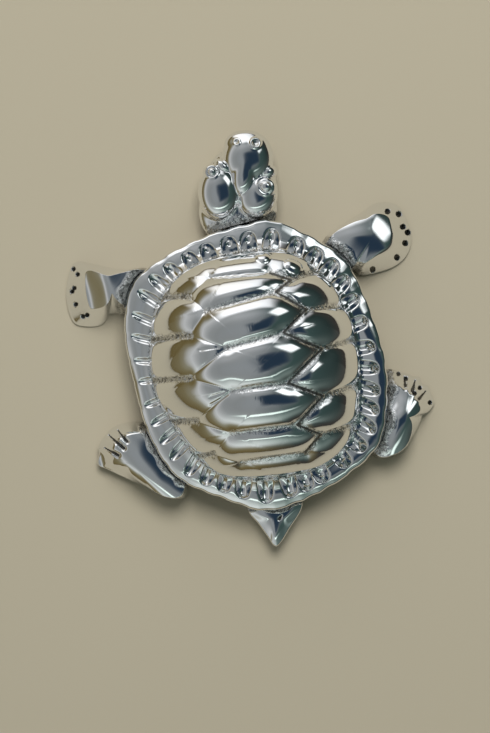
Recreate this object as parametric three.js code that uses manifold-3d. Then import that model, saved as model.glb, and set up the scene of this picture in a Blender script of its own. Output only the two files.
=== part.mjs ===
// Turtle paperweight in polished cast aluminium, in millimetres, +Z up, with the head towards +Y.
// A hollow shell and a belly plate hold the tenons of the head, the legs and the tail between them,
// and an iron weight fills the shell. The origin is the middle of the felt's underside, on the desk.

import * as THREE from "three";
import { mergeVertices } from "three/addons/utils/BufferGeometryUtils.js";
import Module from "manifold-3d";

const wasm = await Module();
wasm.setup();

// The shell in plan
const SHELL_LENGTH = 72.8;
const SHELL_WIDTH = 63.4;
const RIM_END_WIDTH = 8.6;
const RIM_SIDE_WIDTH = 6;
const LIP_WIDTH = 1;
const LIP_DROP = 1;
const RIM_ROLL_DROP = 0.8;

// Heights, from the desk up
const FELT_THICKNESS = 1.2;
const FLOOR_THICKNESS = 2.8;
const TRAY_DEPTH = 3.6;
const RIM_EDGE_HEIGHT = 3.2;
const RIM_SLOPE_RISE = 0.8;
const RIM_FRONT_RISE = 3;
const RIM_REAR_RISE = 2.2;
const DOME_RISE = 16;

// The scutes on the dome and the flutes on the rim
const SCUTE_RISE = 1.8;
const SCUTE_EDGE_ROUND = 2;
const FLUTE_END_HALF_WIDTH = 1.9;
const FLUTE_RIGHT_HALF_WIDTH = 1.8;
const FLUTE_LEFT_HALF_WIDTH = 1;

// What is inside, and what holds it together
const SHELL_WALL = 6;
const RIM_OVERHANG = 3;
const TRAY_WALL = 3;
const FELT_MARGIN = 2.6;
const PILLAR_RADIUS = 2.6;
const TENON_WIDTH = 7;
const TENON_ROOT = 2.6;
const TENON_SEAT_DEPTH = 0.6;
const SOLE_HEIGHT = 0.4;
const SHELL_SCREW = { radius: 1.5, head: 2.8, headDepth: 1.6, length: 12, socket: 1, socketDepth: 1.1 };
const LIMB_SCREW = { radius: 1.25, head: 2.3, headDepth: 1.3, length: 5, socket: 0.8, socketDepth: 0.9 };

// Clearances
const SEAM_GAP = 0.3;
const SCREW_CLEARANCE = 0.15;
const BALLAST_CLEARANCE = 0.6;

// Places around the shell, in degrees from +X towards +Y
const SHELL_SCREW_ANGLES = [66, 114, 246, 294];

// The edge of the shell in plan, in shares of half its width and half its length.
const RIM_OUTLINE = [
  [0.041, 0.969], [0.243, 0.979], [0.429, 0.904], [0.65, 0.77], [0.79, 0.655], [0.895, 0.437], [0.979, 0.137],
  [1.011, -0.07], [0.986, -0.347], [0.879, -0.641], [0.592, -0.832], [0.205, -0.97], [-0.08, -1],
  [-0.39, -0.885], [-0.726, -0.705], [-0.896, -0.437], [-0.98, -0.033], [-1, 0.385], [-0.893, 0.662],
  [-0.652, 0.805], [-0.319, 0.915],
];

// The foot of the dome in plan, in the same shares.
const DOME_OUTLINE = [
  [-0.007, 0.768], [0.17, 0.761], [0.324, 0.729], [0.453, 0.666], [0.568, 0.567], [0.652, 0.46],
  [0.754, 0.203], [0.771, -0.065], [0.733, -0.337], [0.701, -0.462], [0.63, -0.575], [0.512, -0.671],
  [0.374, -0.734], [0.193, -0.759], [-0.006, -0.767], [-0.201, -0.75], [-0.373, -0.707], [-0.496, -0.625],
  [-0.593, -0.513], [-0.751, -0.261], [-0.808, -0.134], [-0.831, -0.015], [-0.827, 0.123], [-0.765, 0.383],
  [-0.708, 0.489], [-0.621, 0.586], [-0.501, 0.668], [-0.349, 0.726], [-0.186, 0.756],
];
const DOME_SQUARENESS = 2.5;
const DOME_LEFT_SWELL = 3;
const DOME_END_LEAN = 0.25;
const DOME_END_FADE = 5;
const RIM_LAND_SHARE = 0.25;
const RIM_ROLL_SHARE = 0.5;
const FLUTE_DEPTH_SHARE = 0.48;
const FLUTE_MIDDLE_SHARE = 0.6;
const FLUTE_REACH_SHARE = 0.5;

// The grooves between the scutes, from the front to the rear, in the same shares: the ends of those across
// the dome, the tips between them on the flanks, and where the grooves that run out from the tips lead.
const SCUTES = {
  left: {
    depth: 0.6,
    ends: [
      [-0.284, 0.615], [-0.341, 0.401], [-0.218, 0.137], [-0.218, -0.148], [-0.262, -0.434],
      [-0.211, -0.632],
    ],
    tips: [[-0.454, 0.508], [-0.486, 0.247], [-0.527, -0.033], [-0.517, -0.319], [-0.42, -0.555]],
    outer: [[-1.325, 0.607], [-1.647, 0.302], [-1.726, 0.022], [-1.363, -0.286], [-1.24, -0.621]],
  },
  right: {
    depth: 1,
    ends: [
      [0.186, 0.604], [0.211, 0.473], [0.23, 0.192], [0.218, -0.146], [0.249, -0.431],
      [0.29, -0.621],
    ],
    tips: [[0.341, 0.541], [0.426, 0.33], [0.511, 0.055], [0.476, -0.261], [0.423, -0.516]],
    outer: [[1.098, 0.673], [1.549, 0.319], [1.382, 0.176], [1.397, -0.096], [1.268, -0.385]],
  },
};

// The flutes, as they were cut by hand, in degrees from +X towards +Y.
const FLUTE_ANGLES = [
  2.3, 15.2, 26.9, 36.7, 45.8, 55, 64.6, 76.4, 87, 96.1, 106.5, 115.4, 125, 133, 141.1, 150.8, 160.2,
  171.1, 181.2, 193.1, 202.6, 212, 220.6, 230.4, 238.9, 247.6, 256.6, 266.9, 277.9, 285.6, 293.3, 305.3,
  314.9, 324.1, 332.4, 341.1, 351.6,
];

// The head is a cluster of egg-shaped lobes. Every other limb fills an outline in plan, anticlockwise, which
// starts and ends under the rim. Its back slopes down past a bend and falls to its edge over a skirt, widest
// towards one direction. Places in plan are shares of half the shell's width and half its length. Directions
// are in degrees, and around is that of the limb's tenon.
const LIMBS = {
  head: {
    around: 90,
    lobes: [
      { middle: [0.044, 1.25], level: 4.2, ahead: 9.8, aside: 9, up: 3.4, turn: 82, fullness: 2.4 },
      { middle: [0.132, 1.5], level: 7.4, ahead: 4, aside: 5.7, up: 3.2, turn: 75, fullness: 2.4 },
      { middle: [0.117, 1.423], level: 8, ahead: 5.6, aside: 6.1, up: 3.4, turn: 75, fullness: 2.4 },
      { middle: [0.082, 1.341], level: 8.6, ahead: 5.6, aside: 4, up: 3.8, turn: 75, fullness: 2.4 },
      { middle: [0.057, 1.272], level: 8.6, ahead: 3.6, aside: 2.1, up: 3.4, turn: 75, fullness: 2.4 },
      { middle: [-0.129, 1.206], level: 7.4, ahead: 7, aside: 5.3, up: 4.1, turn: 84, fullness: 2.4 },
      { middle: [0.164, 1.148], level: 7.4, ahead: 5.6, aside: 5, up: 3.8, turn: 60, fullness: 2.4 },
      { middle: [-0.167, 1.349], level: 8.4, ahead: 2.3, aside: 2.2, up: 2.7, turn: 0, fullness: 2 },
      { middle: [-0.076, 1.379], level: 8.4, ahead: 2.6, aside: 1.6, up: 2.3, turn: -48, fullness: 2 },
      { middle: [0.24, 1.231], level: 8.8, ahead: 2.6, aside: 2.1, up: 2.7, turn: -35, fullness: 2 },
      { middle: [0.268, 1.302], level: 7.8, ahead: 2.4, aside: 2, up: 2.6, turn: 15, fullness: 2 },
      { middle: [0, 1.071], level: 5, ahead: 9.5, aside: 9.8, up: 3.4, turn: 90, fullness: 2 },
    ],
  },
  front_left_leg: {
    around: 143, height: 10, edge: 0.6, crown: 0.3, core: [-1.057, 0.637],
    skirt: { width: 3.8, swing: 2.4, toward: 215 },
    bend: { toward: 185, start: 1, slope: 0.55 },
    outline: [
      [-0.785, 0.761], [-0.95, 0.769], [-1.082, 0.799], [-1.211, 0.841], [-1.3, 0.863], [-1.353, 0.852],
      [-1.397, 0.786], [-1.432, 0.69], [-1.442, 0.613], [-1.432, 0.519], [-1.397, 0.44], [-1.328, 0.412],
      [-1.211, 0.404], [-1.158, 0.426], [-1.12, 0.467], [-1.06, 0.473], [-1.003, 0.453], [-0.773, 0.412],
      [-0.71, 0.701],
    ],
  },
  front_right_leg: {
    around: 46, height: 9.8, edge: 1, crown: 1, core: [1.025, 0.775],
    skirt: { width: 3.4, swing: 2.2, toward: -20 },
    bend: { toward: 32, start: 1, slope: 0.38 },
    outline: [
      [0.678, 0.563], [0.757, 0.511], [0.842, 0.56], [0.899, 0.527], [0.981, 0.527], [1.082, 0.538],
      [1.177, 0.56], [1.259, 0.602], [1.312, 0.657], [1.338, 0.717], [1.347, 0.786], [1.334, 0.849],
      [1.306, 0.923], [1.271, 0.975], [1.211, 1.005], [1.129, 1.016], [1.063, 1.005], [0.991, 0.97],
      [0.858, 0.918], [0.694, 0.841], [0.631, 0.786], [0.584, 0.701],
    ],
  },
  rear_left_leg: {
    around: 214, height: 9.4, edge: 3, crown: 1.8, core: [-1.076, -0.566],
    skirt: { width: 1.7, swing: 1.3, toward: 150 },
    bend: { toward: 215, start: 3, slope: 0.6 },
    outline: [
      [-1.016, -0.286], [-1.11, -0.286], [-1.196, -0.308], [-1.24, -0.335], [-1.303, -0.39],
      [-1.331, -0.437], [-1.328, -0.47], [-1.347, -0.519], [-1.344, -0.555], [-1.278, -0.591],
      [-1.189, -0.64], [-1.054, -0.714], [-0.956, -0.769], [-0.883, -0.816], [-0.808, -0.849],
      [-0.719, -0.854], [-0.672, -0.819], [-0.647, -0.563], [-0.82, -0.343],
    ],
  },
  rear_right_leg: {
    around: 329, height: 10, edge: 2.6, crown: 2, core: [1.11, -0.484],
    skirt: { width: 2, swing: 1.5, toward: 65 },
    bend: { toward: 330, start: 1.5, slope: 0.5 },
    outline: [
      [0.899, -0.179], [0.789, -0.398], [0.71, -0.563], [0.839, -0.734], [0.886, -0.753], [0.965, -0.747],
      [1.044, -0.728], [1.107, -0.69], [1.158, -0.632], [1.199, -0.58], [1.24, -0.525], [1.262, -0.489],
      [1.312, -0.464], [1.356, -0.42], [1.363, -0.382], [1.347, -0.338], [1.334, -0.291], [1.287, -0.264],
      [1.274, -0.22], [1.218, -0.209], [1.189, -0.187], [1.145, -0.179], [1.098, -0.157], [1.035, -0.14],
    ],
  },
  tail: {
    around: 270, height: 6.2, edge: 4.2, crown: 0, core: [-0.013, -1.055],
    skirt: { width: 4, swing: 0, toward: 0 },
    bend: { toward: 270, start: 0, slope: 0 },
    outline: [
      [-0.215, -0.978], [-0.139, -1.093], [-0.069, -1.206], [-0.047, -1.245], [-0.022, -1.258],
      [0.016, -1.236], [0.095, -1.151], [0.224, -0.995], [0.189, -0.824], [-0.158, -0.81],
    ],
  },
};

// Fineness of the round forms
const COLUMNS = 160;
const RIM_SHARES = [0.14, 0.3, 0.46, 0.62, 0.82];
const DOME_STATIONS = 16;
const HOLLOW_STATIONS = 6;
const OUTLINE_POINTS = 72;
const SCREW_SIDES = 12;
const SOCKET_SIDES = 6;
const LOBE_COLUMNS = 20;
const LOBE_ROWS = 12;
const LIMB_COLUMNS = 60;
const LIMB_SHARES = [1, 0.94, 0.86, 0.76, 0.64, 0.5, 0.34, 0.17];

// Levels that follow from the heights
const FLOOR_TOP = FELT_THICKNESS + FLOOR_THICKNESS;
const SHELL_UNDERSIDE = FLOOR_TOP + TRAY_DEPTH;
const RIM_EDGE = SHELL_UNDERSIDE + RIM_EDGE_HEIGHT;
const DOME_FOOT = RIM_EDGE + RIM_SLOPE_RISE;
const DOME_TOP = DOME_FOOT + DOME_RISE;

const ALUMINIUM = new THREE.MeshStandardMaterial({ color: 0xd9dbdc, roughness: 0.12, metalness: 1 });
const CAST_IRON = new THREE.MeshStandardMaterial({ color: 0x3c3b3a, roughness: 0.7, metalness: 1 });
const STEEL = new THREE.MeshStandardMaterial({ color: 0xa8a9a6, roughness: 0.3, metalness: 1 });
const FELT = new THREE.MeshStandardMaterial({ color: 0x1f3a2c, roughness: 1, metalness: 0 });

const radians = THREE.MathUtils.degToRad;
const { lerp, smoothstep } = THREE.MathUtils;

// Turns a closed geometry into a solid that can be cut and joined.
function solid(geometry) {
  const bare = geometry.clone();
  bare.deleteAttribute("normal");
  bare.deleteAttribute("uv");
  const merged = mergeVertices(bare, 1e-4);
  const corners = merged.index.array;
  const triangles = [];
  for (let i = 0; i < corners.length; i += 3) {
    const [a, b, c] = [corners[i], corners[i + 1], corners[i + 2]];
    if (a !== b && b !== c && c !== a) triangles.push(a, b, c);
  }
  const vertProperties = new Float32Array(merged.attributes.position.array);
  const triVerts = new Uint32Array(triangles);
  return new wasm.Manifold(new wasm.Mesh({ numProp: 3, vertProperties, triVerts }));
}

// Turns a finished solid back into a geometry with flat facets.
function geometryOf(body) {
  const mesh = body.getMesh();
  const geometry = new THREE.BufferGeometry();
  geometry.setAttribute("position", new THREE.BufferAttribute(new Float32Array(mesh.vertProperties), 3));
  geometry.setIndex(new THREE.BufferAttribute(new Uint32Array(mesh.triVerts), 1));
  geometry.computeVertexNormals();
  return geometry;
}

function meshOf(name, body, material) {
  const mesh = new THREE.Mesh(geometryOf(body), material);
  mesh.name = name;
  return mesh;
}

// A place in plan, from its shares of half the shell's width and half its length.
function planPlace([x, y]) {
  return new THREE.Vector2((x * SHELL_WIDTH) / 2, (y * SHELL_LENGTH) / 2);
}

// Evenly spaced points on the smooth closed curve through places in plan.
function outlinePoints(shares, count) {
  const points = shares.map((share) => new THREE.Vector3(...planPlace(share), 0));
  const curve = new THREE.CatmullRomCurve3(points, true, "centripetal");
  const spaced = curve.getSpacedPoints(count).slice(0, count);
  return spaced.map((point) => new THREE.Vector2(point.x, point.y));
}

// The rim's edge as evenly spaced points, anticlockwise.
function rimPoints(count) {
  return outlinePoints([...RIM_OUTLINE].reverse(), count);
}

// A closed solid from a lathe's net: rows that each run once around, from a point below to a point on top.
function netSolid(columns, rows, place) {
  const net = [];
  for (let row = 0; row < rows; row += 1) net.push(new THREE.Vector2(row * (rows - 1 - row), row));
  const geometry = new THREE.LatheGeometry(net, columns);
  const position = geometry.attributes.position;
  for (let i = 0; i < position.count; i += 1) {
    const point = place(Math.floor(i / rows) % columns, i % rows);
    position.setXYZ(i, point.x, point.y, point.z);
  }
  return solid(geometry);
}

// An outline moved outwards by a distance, or inwards where it is negative.
function offsetOutline(outline, distance) {
  const count = outline.length;
  return outline.map((point, i) => {
    const along = outline[(i + 1) % count].clone().sub(outline[(i + count - 1) % count]).normalize();
    return new THREE.Vector2(point.x + along.y * distance, point.y - along.x * distance);
  });
}

// A straight-sided solid with a plan outline, between two levels.
function prism(outline, bottom, top) {
  const geometry = new THREE.ExtrudeGeometry(new THREE.Shape(outline), {
    depth: top - bottom,
    bevelEnabled: false,
  });
  return solid(geometry.translate(0, 0, bottom));
}

// An upright cylinder between two levels.
function post(place, radius, bottom, top) {
  const geometry = new THREE.CylinderGeometry(radius, radius, top - bottom, SCREW_SIDES);
  geometry.rotateX(Math.PI / 2);
  return solid(geometry.translate(place.x, place.y, (bottom + top) / 2));
}

// How far an anticlockwise outline lies from the middle of the shell, in one direction.
function outlineRadius(outline, angle) {
  const ahead = new THREE.Vector2(Math.cos(angle), Math.sin(angle));
  let radius = 0;
  outline.forEach((from, i) => {
    const to = outline[(i + 1) % outline.length];
    const sideFrom = ahead.cross(from);
    const sideTo = ahead.cross(to);
    const meet = from.clone().lerp(to, sideFrom / (sideFrom - sideTo));
    const crosses = sideFrom <= 0 && sideTo > 0;
    if (crosses && meet.dot(ahead) > 0) radius = meet.length();
  });
  return radius;
}

// How far the rim's edge lies from the middle of the shell, in one direction.
function rimRadius(angle) {
  return outlineRadius(rimPoints(COLUMNS), angle);
}

// How far the even form of the hollow, drawn in by an inset, lies from the middle of the shell.
function domeRadius(angle, inset) {
  const halfWidth = SHELL_WIDTH / 2 - RIM_SIDE_WIDTH - inset;
  const halfLength = SHELL_LENGTH / 2 - RIM_END_WIDTH - inset;
  const across = Math.abs(Math.cos(angle) / halfWidth) ** DOME_SQUARENESS;
  const along = Math.abs(Math.sin(angle) / halfLength) ** DOME_SQUARENESS;
  return (across + along) ** (-1 / DOME_SQUARENESS);
}

const FOOT_POINTS = outlinePoints([...DOME_OUTLINE].reverse(), COLUMNS);

// How far the dome's foot lies from the middle of the shell, in one direction.
function footRadius(angle) {
  return outlineRadius(FOOT_POINTS, angle);
}

// The level at which the dome stands on the rim, higher at the two ends.
function footLevel(angle) {
  const front = (RIM_FRONT_RISE - RIM_SLOPE_RISE) * Math.max(0, Math.sin(angle)) ** 3;
  const rear = (RIM_REAR_RISE - RIM_SLOPE_RISE) * Math.max(0, -Math.sin(angle)) ** 3;
  return DOME_FOOT + front + rear;
}

// The grooves between the scutes, as straight lines in plan.
function scuteGrooves() {
  const grooves = [];
  const groove = (from, to, depth) => {
    const [start, end] = [planPlace(from), planPlace(to)];
    const line = new THREE.Line3(new THREE.Vector3(start.x, start.y, 0), new THREE.Vector3(end.x, end.y, 0));
    grooves.push({ line, depth });
  };
  SCUTES.left.ends.forEach((end, row) => groove(end, SCUTES.right.ends[row], 1));
  for (const { depth, ends, tips, outer } of Object.values(SCUTES)) {
    tips.forEach((tip, row) => {
      groove(ends[row], tip, depth);
      groove(tip, ends[row + 1], depth);
      groove(tip, outer[row], 1);
    });
  }
  return grooves;
}

const GROOVES = scuteGrooves();

// How far the scutes stand out of the dome at a place in plan: nothing in a groove, the full rise between.
function scuteRise(x, y) {
  const place = new THREE.Vector3(x, y, 0);
  const nearest = new THREE.Vector3();
  return GROOVES.reduce((rise, { line, depth }) => {
    line.closestPointToPoint(place, true, nearest);
    return rise * (1 - depth * Math.exp(-place.distanceTo(nearest) / SCUTE_EDGE_ROUND));
  }, SCUTE_RISE);
}

// A point on the dome, at an angle down from its top, in one direction in plan. The dome is round on the
// right and leans back on the left and at the ends.
function domePoint(direction, down) {
  const angle = Math.atan2(direction.y, direction.x);
  const foot = footRadius(angle);
  const span = DOME_TOP - footLevel(angle);
  const [reach, upright] = [Math.sin(down), Math.cos(down)];
  const end = Math.abs(direction.y) ** DOME_END_FADE;
  const left = (1 - end) * Math.max(0, -direction.x) ** 2;
  const side = 1 - end - left;
  const endRise = 1 - DOME_END_LEAN * reach ** 2 - (1 - DOME_END_LEAN) * reach ** 4;
  const endFall = (2 * DOME_END_LEAN * reach + 4 * (1 - DOME_END_LEAN) * reach ** 3) * upright;
  const leftFall = DOME_LEFT_SWELL * reach ** (DOME_LEFT_SWELL - 1) * upright;
  const above = span * (side * upright + left * (1 - reach ** DOME_LEFT_SWELL) + end * endRise);
  const steepness = side * reach + left * leftFall + end * endFall;
  const normal = new THREE.Vector2(span * steepness, foot * upright).normalize();
  const out = foot * reach;
  const rise = scuteRise(direction.x * out, direction.y * out) * (1 - Math.exp(-above / SCUTE_EDGE_ROUND));
  const radius = out + normal.x * rise;
  const height = footLevel(angle) + above + normal.y * rise;
  return new THREE.Vector3(direction.x * radius, direction.y * radius, height);
}

// How deep the flutes, shaped like spoons, go at a place on the rim. The share runs from the lip to the dome.
function fluteDepth(angle, radius, share) {
  const along = (share - FLUTE_MIDDLE_SHARE) / FLUTE_REACH_SHARE;
  const depths = FLUTE_ANGLES.map((degrees) => {
    const turn = radians(degrees);
    const sideHalfWidth = Math.cos(turn) > 0 ? FLUTE_RIGHT_HALF_WIDTH : FLUTE_LEFT_HALF_WIDTH;
    const halfWidth = lerp(FLUTE_END_HALF_WIDTH, sideHalfWidth, Math.cos(turn) ** 2);
    const away = Math.acos(Math.cos(angle - turn)) * (radius / halfWidth);
    return FLUTE_DEPTH_SHARE * halfWidth * Math.max(0, 1 - away ** 2 - along ** 2);
  });
  return Math.max(...depths);
}

// The outside of the shell: a net of columns and rows over the rim and the dome.
function shellForm() {
  const outline = rimPoints(COLUMNS);
  const lipTop = RIM_EDGE - RIM_ROLL_DROP;
  const lipTurn = Math.PI / 4;
  const lipWidth = LIP_WIDTH * (1 - Math.cos(lipTurn));
  const lipDrop = LIP_DROP * (1 - Math.sin(lipTurn));
  const domeAngles = [];
  for (let i = 0; i < DOME_STATIONS; i += 1) domeAngles.push((Math.PI / 2) * (1 - i / DOME_STATIONS));
  const rimPlace = (direction, edge, inset, share, height) => {
    const foot = footRadius(Math.atan2(direction.y, direction.x));
    const radius = lerp(edge - inset, foot, share);
    return new THREE.Vector3(direction.x * radius, direction.y * radius, height);
  };
  const face = (share) => (direction, edge) => {
    const angle = Math.atan2(direction.y, direction.x);
    const point = rimPlace(direction, edge, LIP_WIDTH, share, 0);
    const climb = lerp(smoothstep(share, 0.5, 1.05), share, RIM_LAND_SHARE);
    const sunk = fluteDepth(angle, Math.hypot(point.x, point.y), share);
    const roll = RIM_ROLL_DROP * Math.max(0, 1 - share / RIM_ROLL_SHARE) ** 2;
    return point.setZ(lerp(RIM_EDGE, footLevel(angle), climb) - sunk - roll);
  };
  const rows = [
    () => new THREE.Vector3(0, 0, SHELL_UNDERSIDE),
    (direction, edge) => rimPlace(direction, edge, 0, 0, SHELL_UNDERSIDE),
    (direction, edge) => rimPlace(direction, edge, 0, 0, lipTop - LIP_DROP),
    (direction, edge) => rimPlace(direction, edge, lipWidth, 0, lipTop - lipDrop),
    (direction, edge) => rimPlace(direction, edge, LIP_WIDTH, 0, lipTop),
    ...RIM_SHARES.map(face),
    ...domeAngles.map((down) => (direction) => domePoint(direction, down)),
    () => domePoint(new THREE.Vector2(1, 0), 0),
  ];
  return netSolid(COLUMNS, rows.length, (column, row) => {
    const edge = outline[column].length();
    const direction = outline[column].clone().normalize();
    return rows[row](direction, edge);
  });
}

// A domed block with the shell's hollow form, drawn in from it by a clearance on every side.
function hollowForm(bottom, clearance) {
  const inset = SHELL_WALL + clearance;
  const rise = DOME_RISE - inset;
  const profile = [new THREE.Vector2(0, bottom)];
  for (let i = 0; i <= HOLLOW_STATIONS; i += 1) {
    const down = (Math.PI / 2) * (1 - i / HOLLOW_STATIONS);
    if (i === 0) profile.push(new THREE.Vector2(1, bottom));
    profile.push(new THREE.Vector2(Math.sin(down), DOME_FOOT + rise * Math.cos(down)));
  }
  profile[profile.length - 1].x = 0;
  const geometry = new THREE.LatheGeometry(profile, OUTLINE_POINTS);
  geometry.rotateX(Math.PI / 2);
  const position = geometry.attributes.position;
  for (let i = 0; i < position.count; i += 1) {
    const place = new THREE.Vector2(position.getX(i), position.getY(i));
    const radius = domeRadius(Math.atan2(place.y, place.x), inset);
    position.setXYZ(i, place.x * radius, place.y * radius, position.getZ(i));
  }
  return solid(geometry);
}

// Where each shell screw stands: in the middle of the shell's wall.
function shellScrewPlaces() {
  return SHELL_SCREW_ANGLES.map((degrees) => {
    const angle = radians(degrees);
    const radius = domeRadius(angle, SHELL_WALL / 2);
    return new THREE.Vector2(radius * Math.cos(angle), radius * Math.sin(angle));
  });
}

// How far from the middle a limb's tenon starts inside the limb, enters the tray and ends at the hollow.
function tenonSpan(limb) {
  const angle = radians(limb.around);
  const plateEdge = rimRadius(angle) - RIM_OVERHANG;
  const inner = domeRadius(angle, SHELL_WALL);
  return { outer: plateEdge + TENON_ROOT, entry: plateEdge - TRAY_WALL, inner };
}

// Where a limb's screw stands: halfway along the part of its tenon that lies inside the tray.
function limbScrewPlace(limb) {
  const angle = radians(limb.around);
  const { entry, inner } = tenonSpan(limb);
  const radius = (entry + inner) / 2;
  return new THREE.Vector2(radius * Math.cos(angle), radius * Math.sin(angle));
}

// A countersunk screw, standing on its head. Clearance widens it into its hole.
function screwForm(screw, clearance) {
  const radius = screw.radius + clearance;
  const head = screw.head + clearance;
  const profile = [
    new THREE.Vector2(0, -clearance),
    new THREE.Vector2(head, -clearance),
    new THREE.Vector2(head, 0),
    new THREE.Vector2(radius, screw.headDepth + clearance),
    new THREE.Vector2(radius, screw.length + clearance),
    new THREE.Vector2(0, screw.length + clearance),
  ];
  const geometry = new THREE.LatheGeometry(profile, SCREW_SIDES);
  return solid(geometry.rotateX(Math.PI / 2));
}

// A screw with a hexagon socket in its head.
function screwBody(screw) {
  const socket = new THREE.CylinderGeometry(screw.socket, screw.socket, screw.socketDepth * 2, SOCKET_SIDES);
  return screwForm(screw, 0).subtract(solid(socket.rotateX(Math.PI / 2)));
}

function carapace() {
  let body = shellForm().subtract(hollowForm(FLOOR_TOP, 0));
  for (const place of shellScrewPlaces()) {
    const hole = screwForm(SHELL_SCREW, SCREW_CLEARANCE);
    body = body.subtract(hole.translate([place.x, place.y, FELT_THICKNESS]));
  }
  return body;
}

// A box that runs in from a limb towards the middle of the shell, up from the seat in the belly plate. A gap
// draws it in on both sides and below.
function tenonForm(limb, gap, top) {
  const { outer, inner } = tenonSpan(limb);
  const bottom = FLOOR_TOP - TENON_SEAT_DEPTH + gap;
  const geometry = new THREE.BoxGeometry(outer - inner, TENON_WIDTH - 2 * gap, top - bottom);
  geometry.translate((outer + inner) / 2, 0, (top + bottom) / 2);
  return solid(geometry.rotateZ(radians(limb.around)));
}

function plastron() {
  const outside = offsetOutline(rimPoints(OUTLINE_POINTS), -RIM_OVERHANG);
  const inside = offsetOutline(rimPoints(OUTLINE_POINTS), -RIM_OVERHANG - TRAY_WALL);
  const pillarFoot = FELT_THICKNESS + FLOOR_THICKNESS / 2;
  let body = prism(outside, FELT_THICKNESS, SHELL_UNDERSIDE);
  body = body.subtract(prism(inside, FLOOR_TOP, SHELL_UNDERSIDE + TRAY_DEPTH));
  for (const place of shellScrewPlaces()) {
    body = body.add(post(place, PILLAR_RADIUS, pillarFoot, SHELL_UNDERSIDE));
  }
  for (const limb of Object.values(LIMBS)) {
    body = body.subtract(tenonForm(limb, 0, SHELL_UNDERSIDE + TRAY_DEPTH));
    const place = limbScrewPlace(limb);
    const hole = screwForm(LIMB_SCREW, SCREW_CLEARANCE);
    body = body.subtract(hole.translate([place.x, place.y, FELT_THICKNESS]));
  }
  for (const place of shellScrewPlaces()) {
    const hole = screwForm(SHELL_SCREW, SCREW_CLEARANCE);
    body = body.subtract(hole.translate([place.x, place.y, FELT_THICKNESS]));
  }
  return body;
}

function feltPad() {
  const outline = offsetOutline(rimPoints(OUTLINE_POINTS), -RIM_OVERHANG - FELT_MARGIN);
  return prism(outline, 0, FELT_THICKNESS);
}

// A limb that is a cluster of lobes, grown together.
function clusterForm(limb) {
  const lobes = limb.lobes.map((lobe) => {
    const geometry = new THREE.SphereGeometry(1, LOBE_COLUMNS, LOBE_ROWS);
    geometry.rotateX(Math.PI / 2);
    const position = geometry.attributes.position;
    for (let i = 0; i < position.count; i += 1) {
      const [x, y, z] = [position.getX(i), position.getY(i), position.getZ(i)];
      const size = (Math.hypot(x, y) ** lobe.fullness + Math.abs(z) ** lobe.fullness) ** (1 / lobe.fullness);
      position.setXYZ(i, x / size, y / size, z / size);
    }
    geometry.scale(lobe.ahead, lobe.aside, lobe.up);
    geometry.rotateZ(radians(lobe.turn));
    const place = planPlace(lobe.middle);
    return solid(geometry.translate(place.x, place.y, lobe.level));
  });
  return lobes.reduce((whole, lobe) => whole.add(lobe));
}

// The level of a limb's back, at a share of the reach from its core to its outline.
function limbLevel(limb, reach, share) {
  const { skirt, bend } = limb;
  const [angle, length] = [reach.angle(), reach.length()];
  const width = Math.min(length, skirt.width + skirt.swing * Math.cos(angle - radians(skirt.toward)));
  const full = 1 - Math.max(0, 1 - (length * (1 - share)) / width) ** 2;
  const past = share * length * Math.cos(angle - radians(bend.toward)) - bend.start;
  const back = limb.height - limb.crown * share ** 2 - bend.slope * Math.max(0, past);
  return limb.edge + Math.max(0, back - limb.edge) * full;
}

// A limb that fills an outline: a net from the middle of its sole, around its edge and over its back.
function outlineForm(limb) {
  const outline = outlinePoints(limb.outline, LIMB_COLUMNS);
  const core = planPlace(limb.core);
  const shares = [0, 1, ...LIMB_SHARES, 0];
  return netSolid(LIMB_COLUMNS, shares.length, (column, row) => {
    const reach = outline[column].clone().sub(core);
    const place = core.clone().addScaledVector(reach, shares[row]);
    return new THREE.Vector3(place.x, place.y, row < 2 ? SOLE_HEIGHT : limbLevel(limb, reach, shares[row]));
  });
}

// A limb's body, trimmed to the rim and the belly plate, with the tenon that the plate holds.
function limbBody(limb) {
  const underRim = SHELL_UNDERSIDE - SEAM_GAP;
  const rim = prism(offsetOutline(rimPoints(COLUMNS), SEAM_GAP), underRim, DOME_TOP);
  const plateOutline = offsetOutline(rimPoints(OUTLINE_POINTS), SEAM_GAP - RIM_OVERHANG);
  const plate = prism(plateOutline, -SOLE_HEIGHT, SHELL_UNDERSIDE);
  const hole = screwForm(LIMB_SCREW, SCREW_CLEARANCE);
  const place = limbScrewPlace(limb);
  const form = limb.lobes ? clusterForm(limb) : outlineForm(limb);
  return form
    .subtract(rim)
    .subtract(plate)
    .add(tenonForm(limb, SEAM_GAP, underRim))
    .subtract(hole.translate([place.x, place.y, FELT_THICKNESS]));
}

function screwMesh(name, screw, place) {
  const mesh = meshOf(name, screwBody(screw), STEEL);
  mesh.position.set(place.x, place.y, FELT_THICKNESS);
  return mesh;
}

const shell = new THREE.Group();
shell.add(meshOf("carapace", carapace(), ALUMINIUM));
shell.add(meshOf("ballast", hollowForm(FLOOR_TOP, BALLAST_CLEARANCE), CAST_IRON));

const base = new THREE.Group();
base.add(meshOf("plastron", plastron(), ALUMINIUM));
base.add(meshOf("felt_pad", feltPad(), FELT));
shellScrewPlaces().forEach((place, i) => {
  base.add(screwMesh(`shell_screw_${i + 1}`, SHELL_SCREW, place));
});

const limbs = new THREE.Group();
for (const [name, limb] of Object.entries(LIMBS)) {
  limbs.add(meshOf(name, limbBody(limb), ALUMINIUM));
  limbs.add(screwMesh(`${name}_screw`, LIMB_SCREW, limbScrewPlace(limb)));
}

const turtle = new THREE.Group();
turtle.add(shell, base, limbs);

export default turtle;
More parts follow.
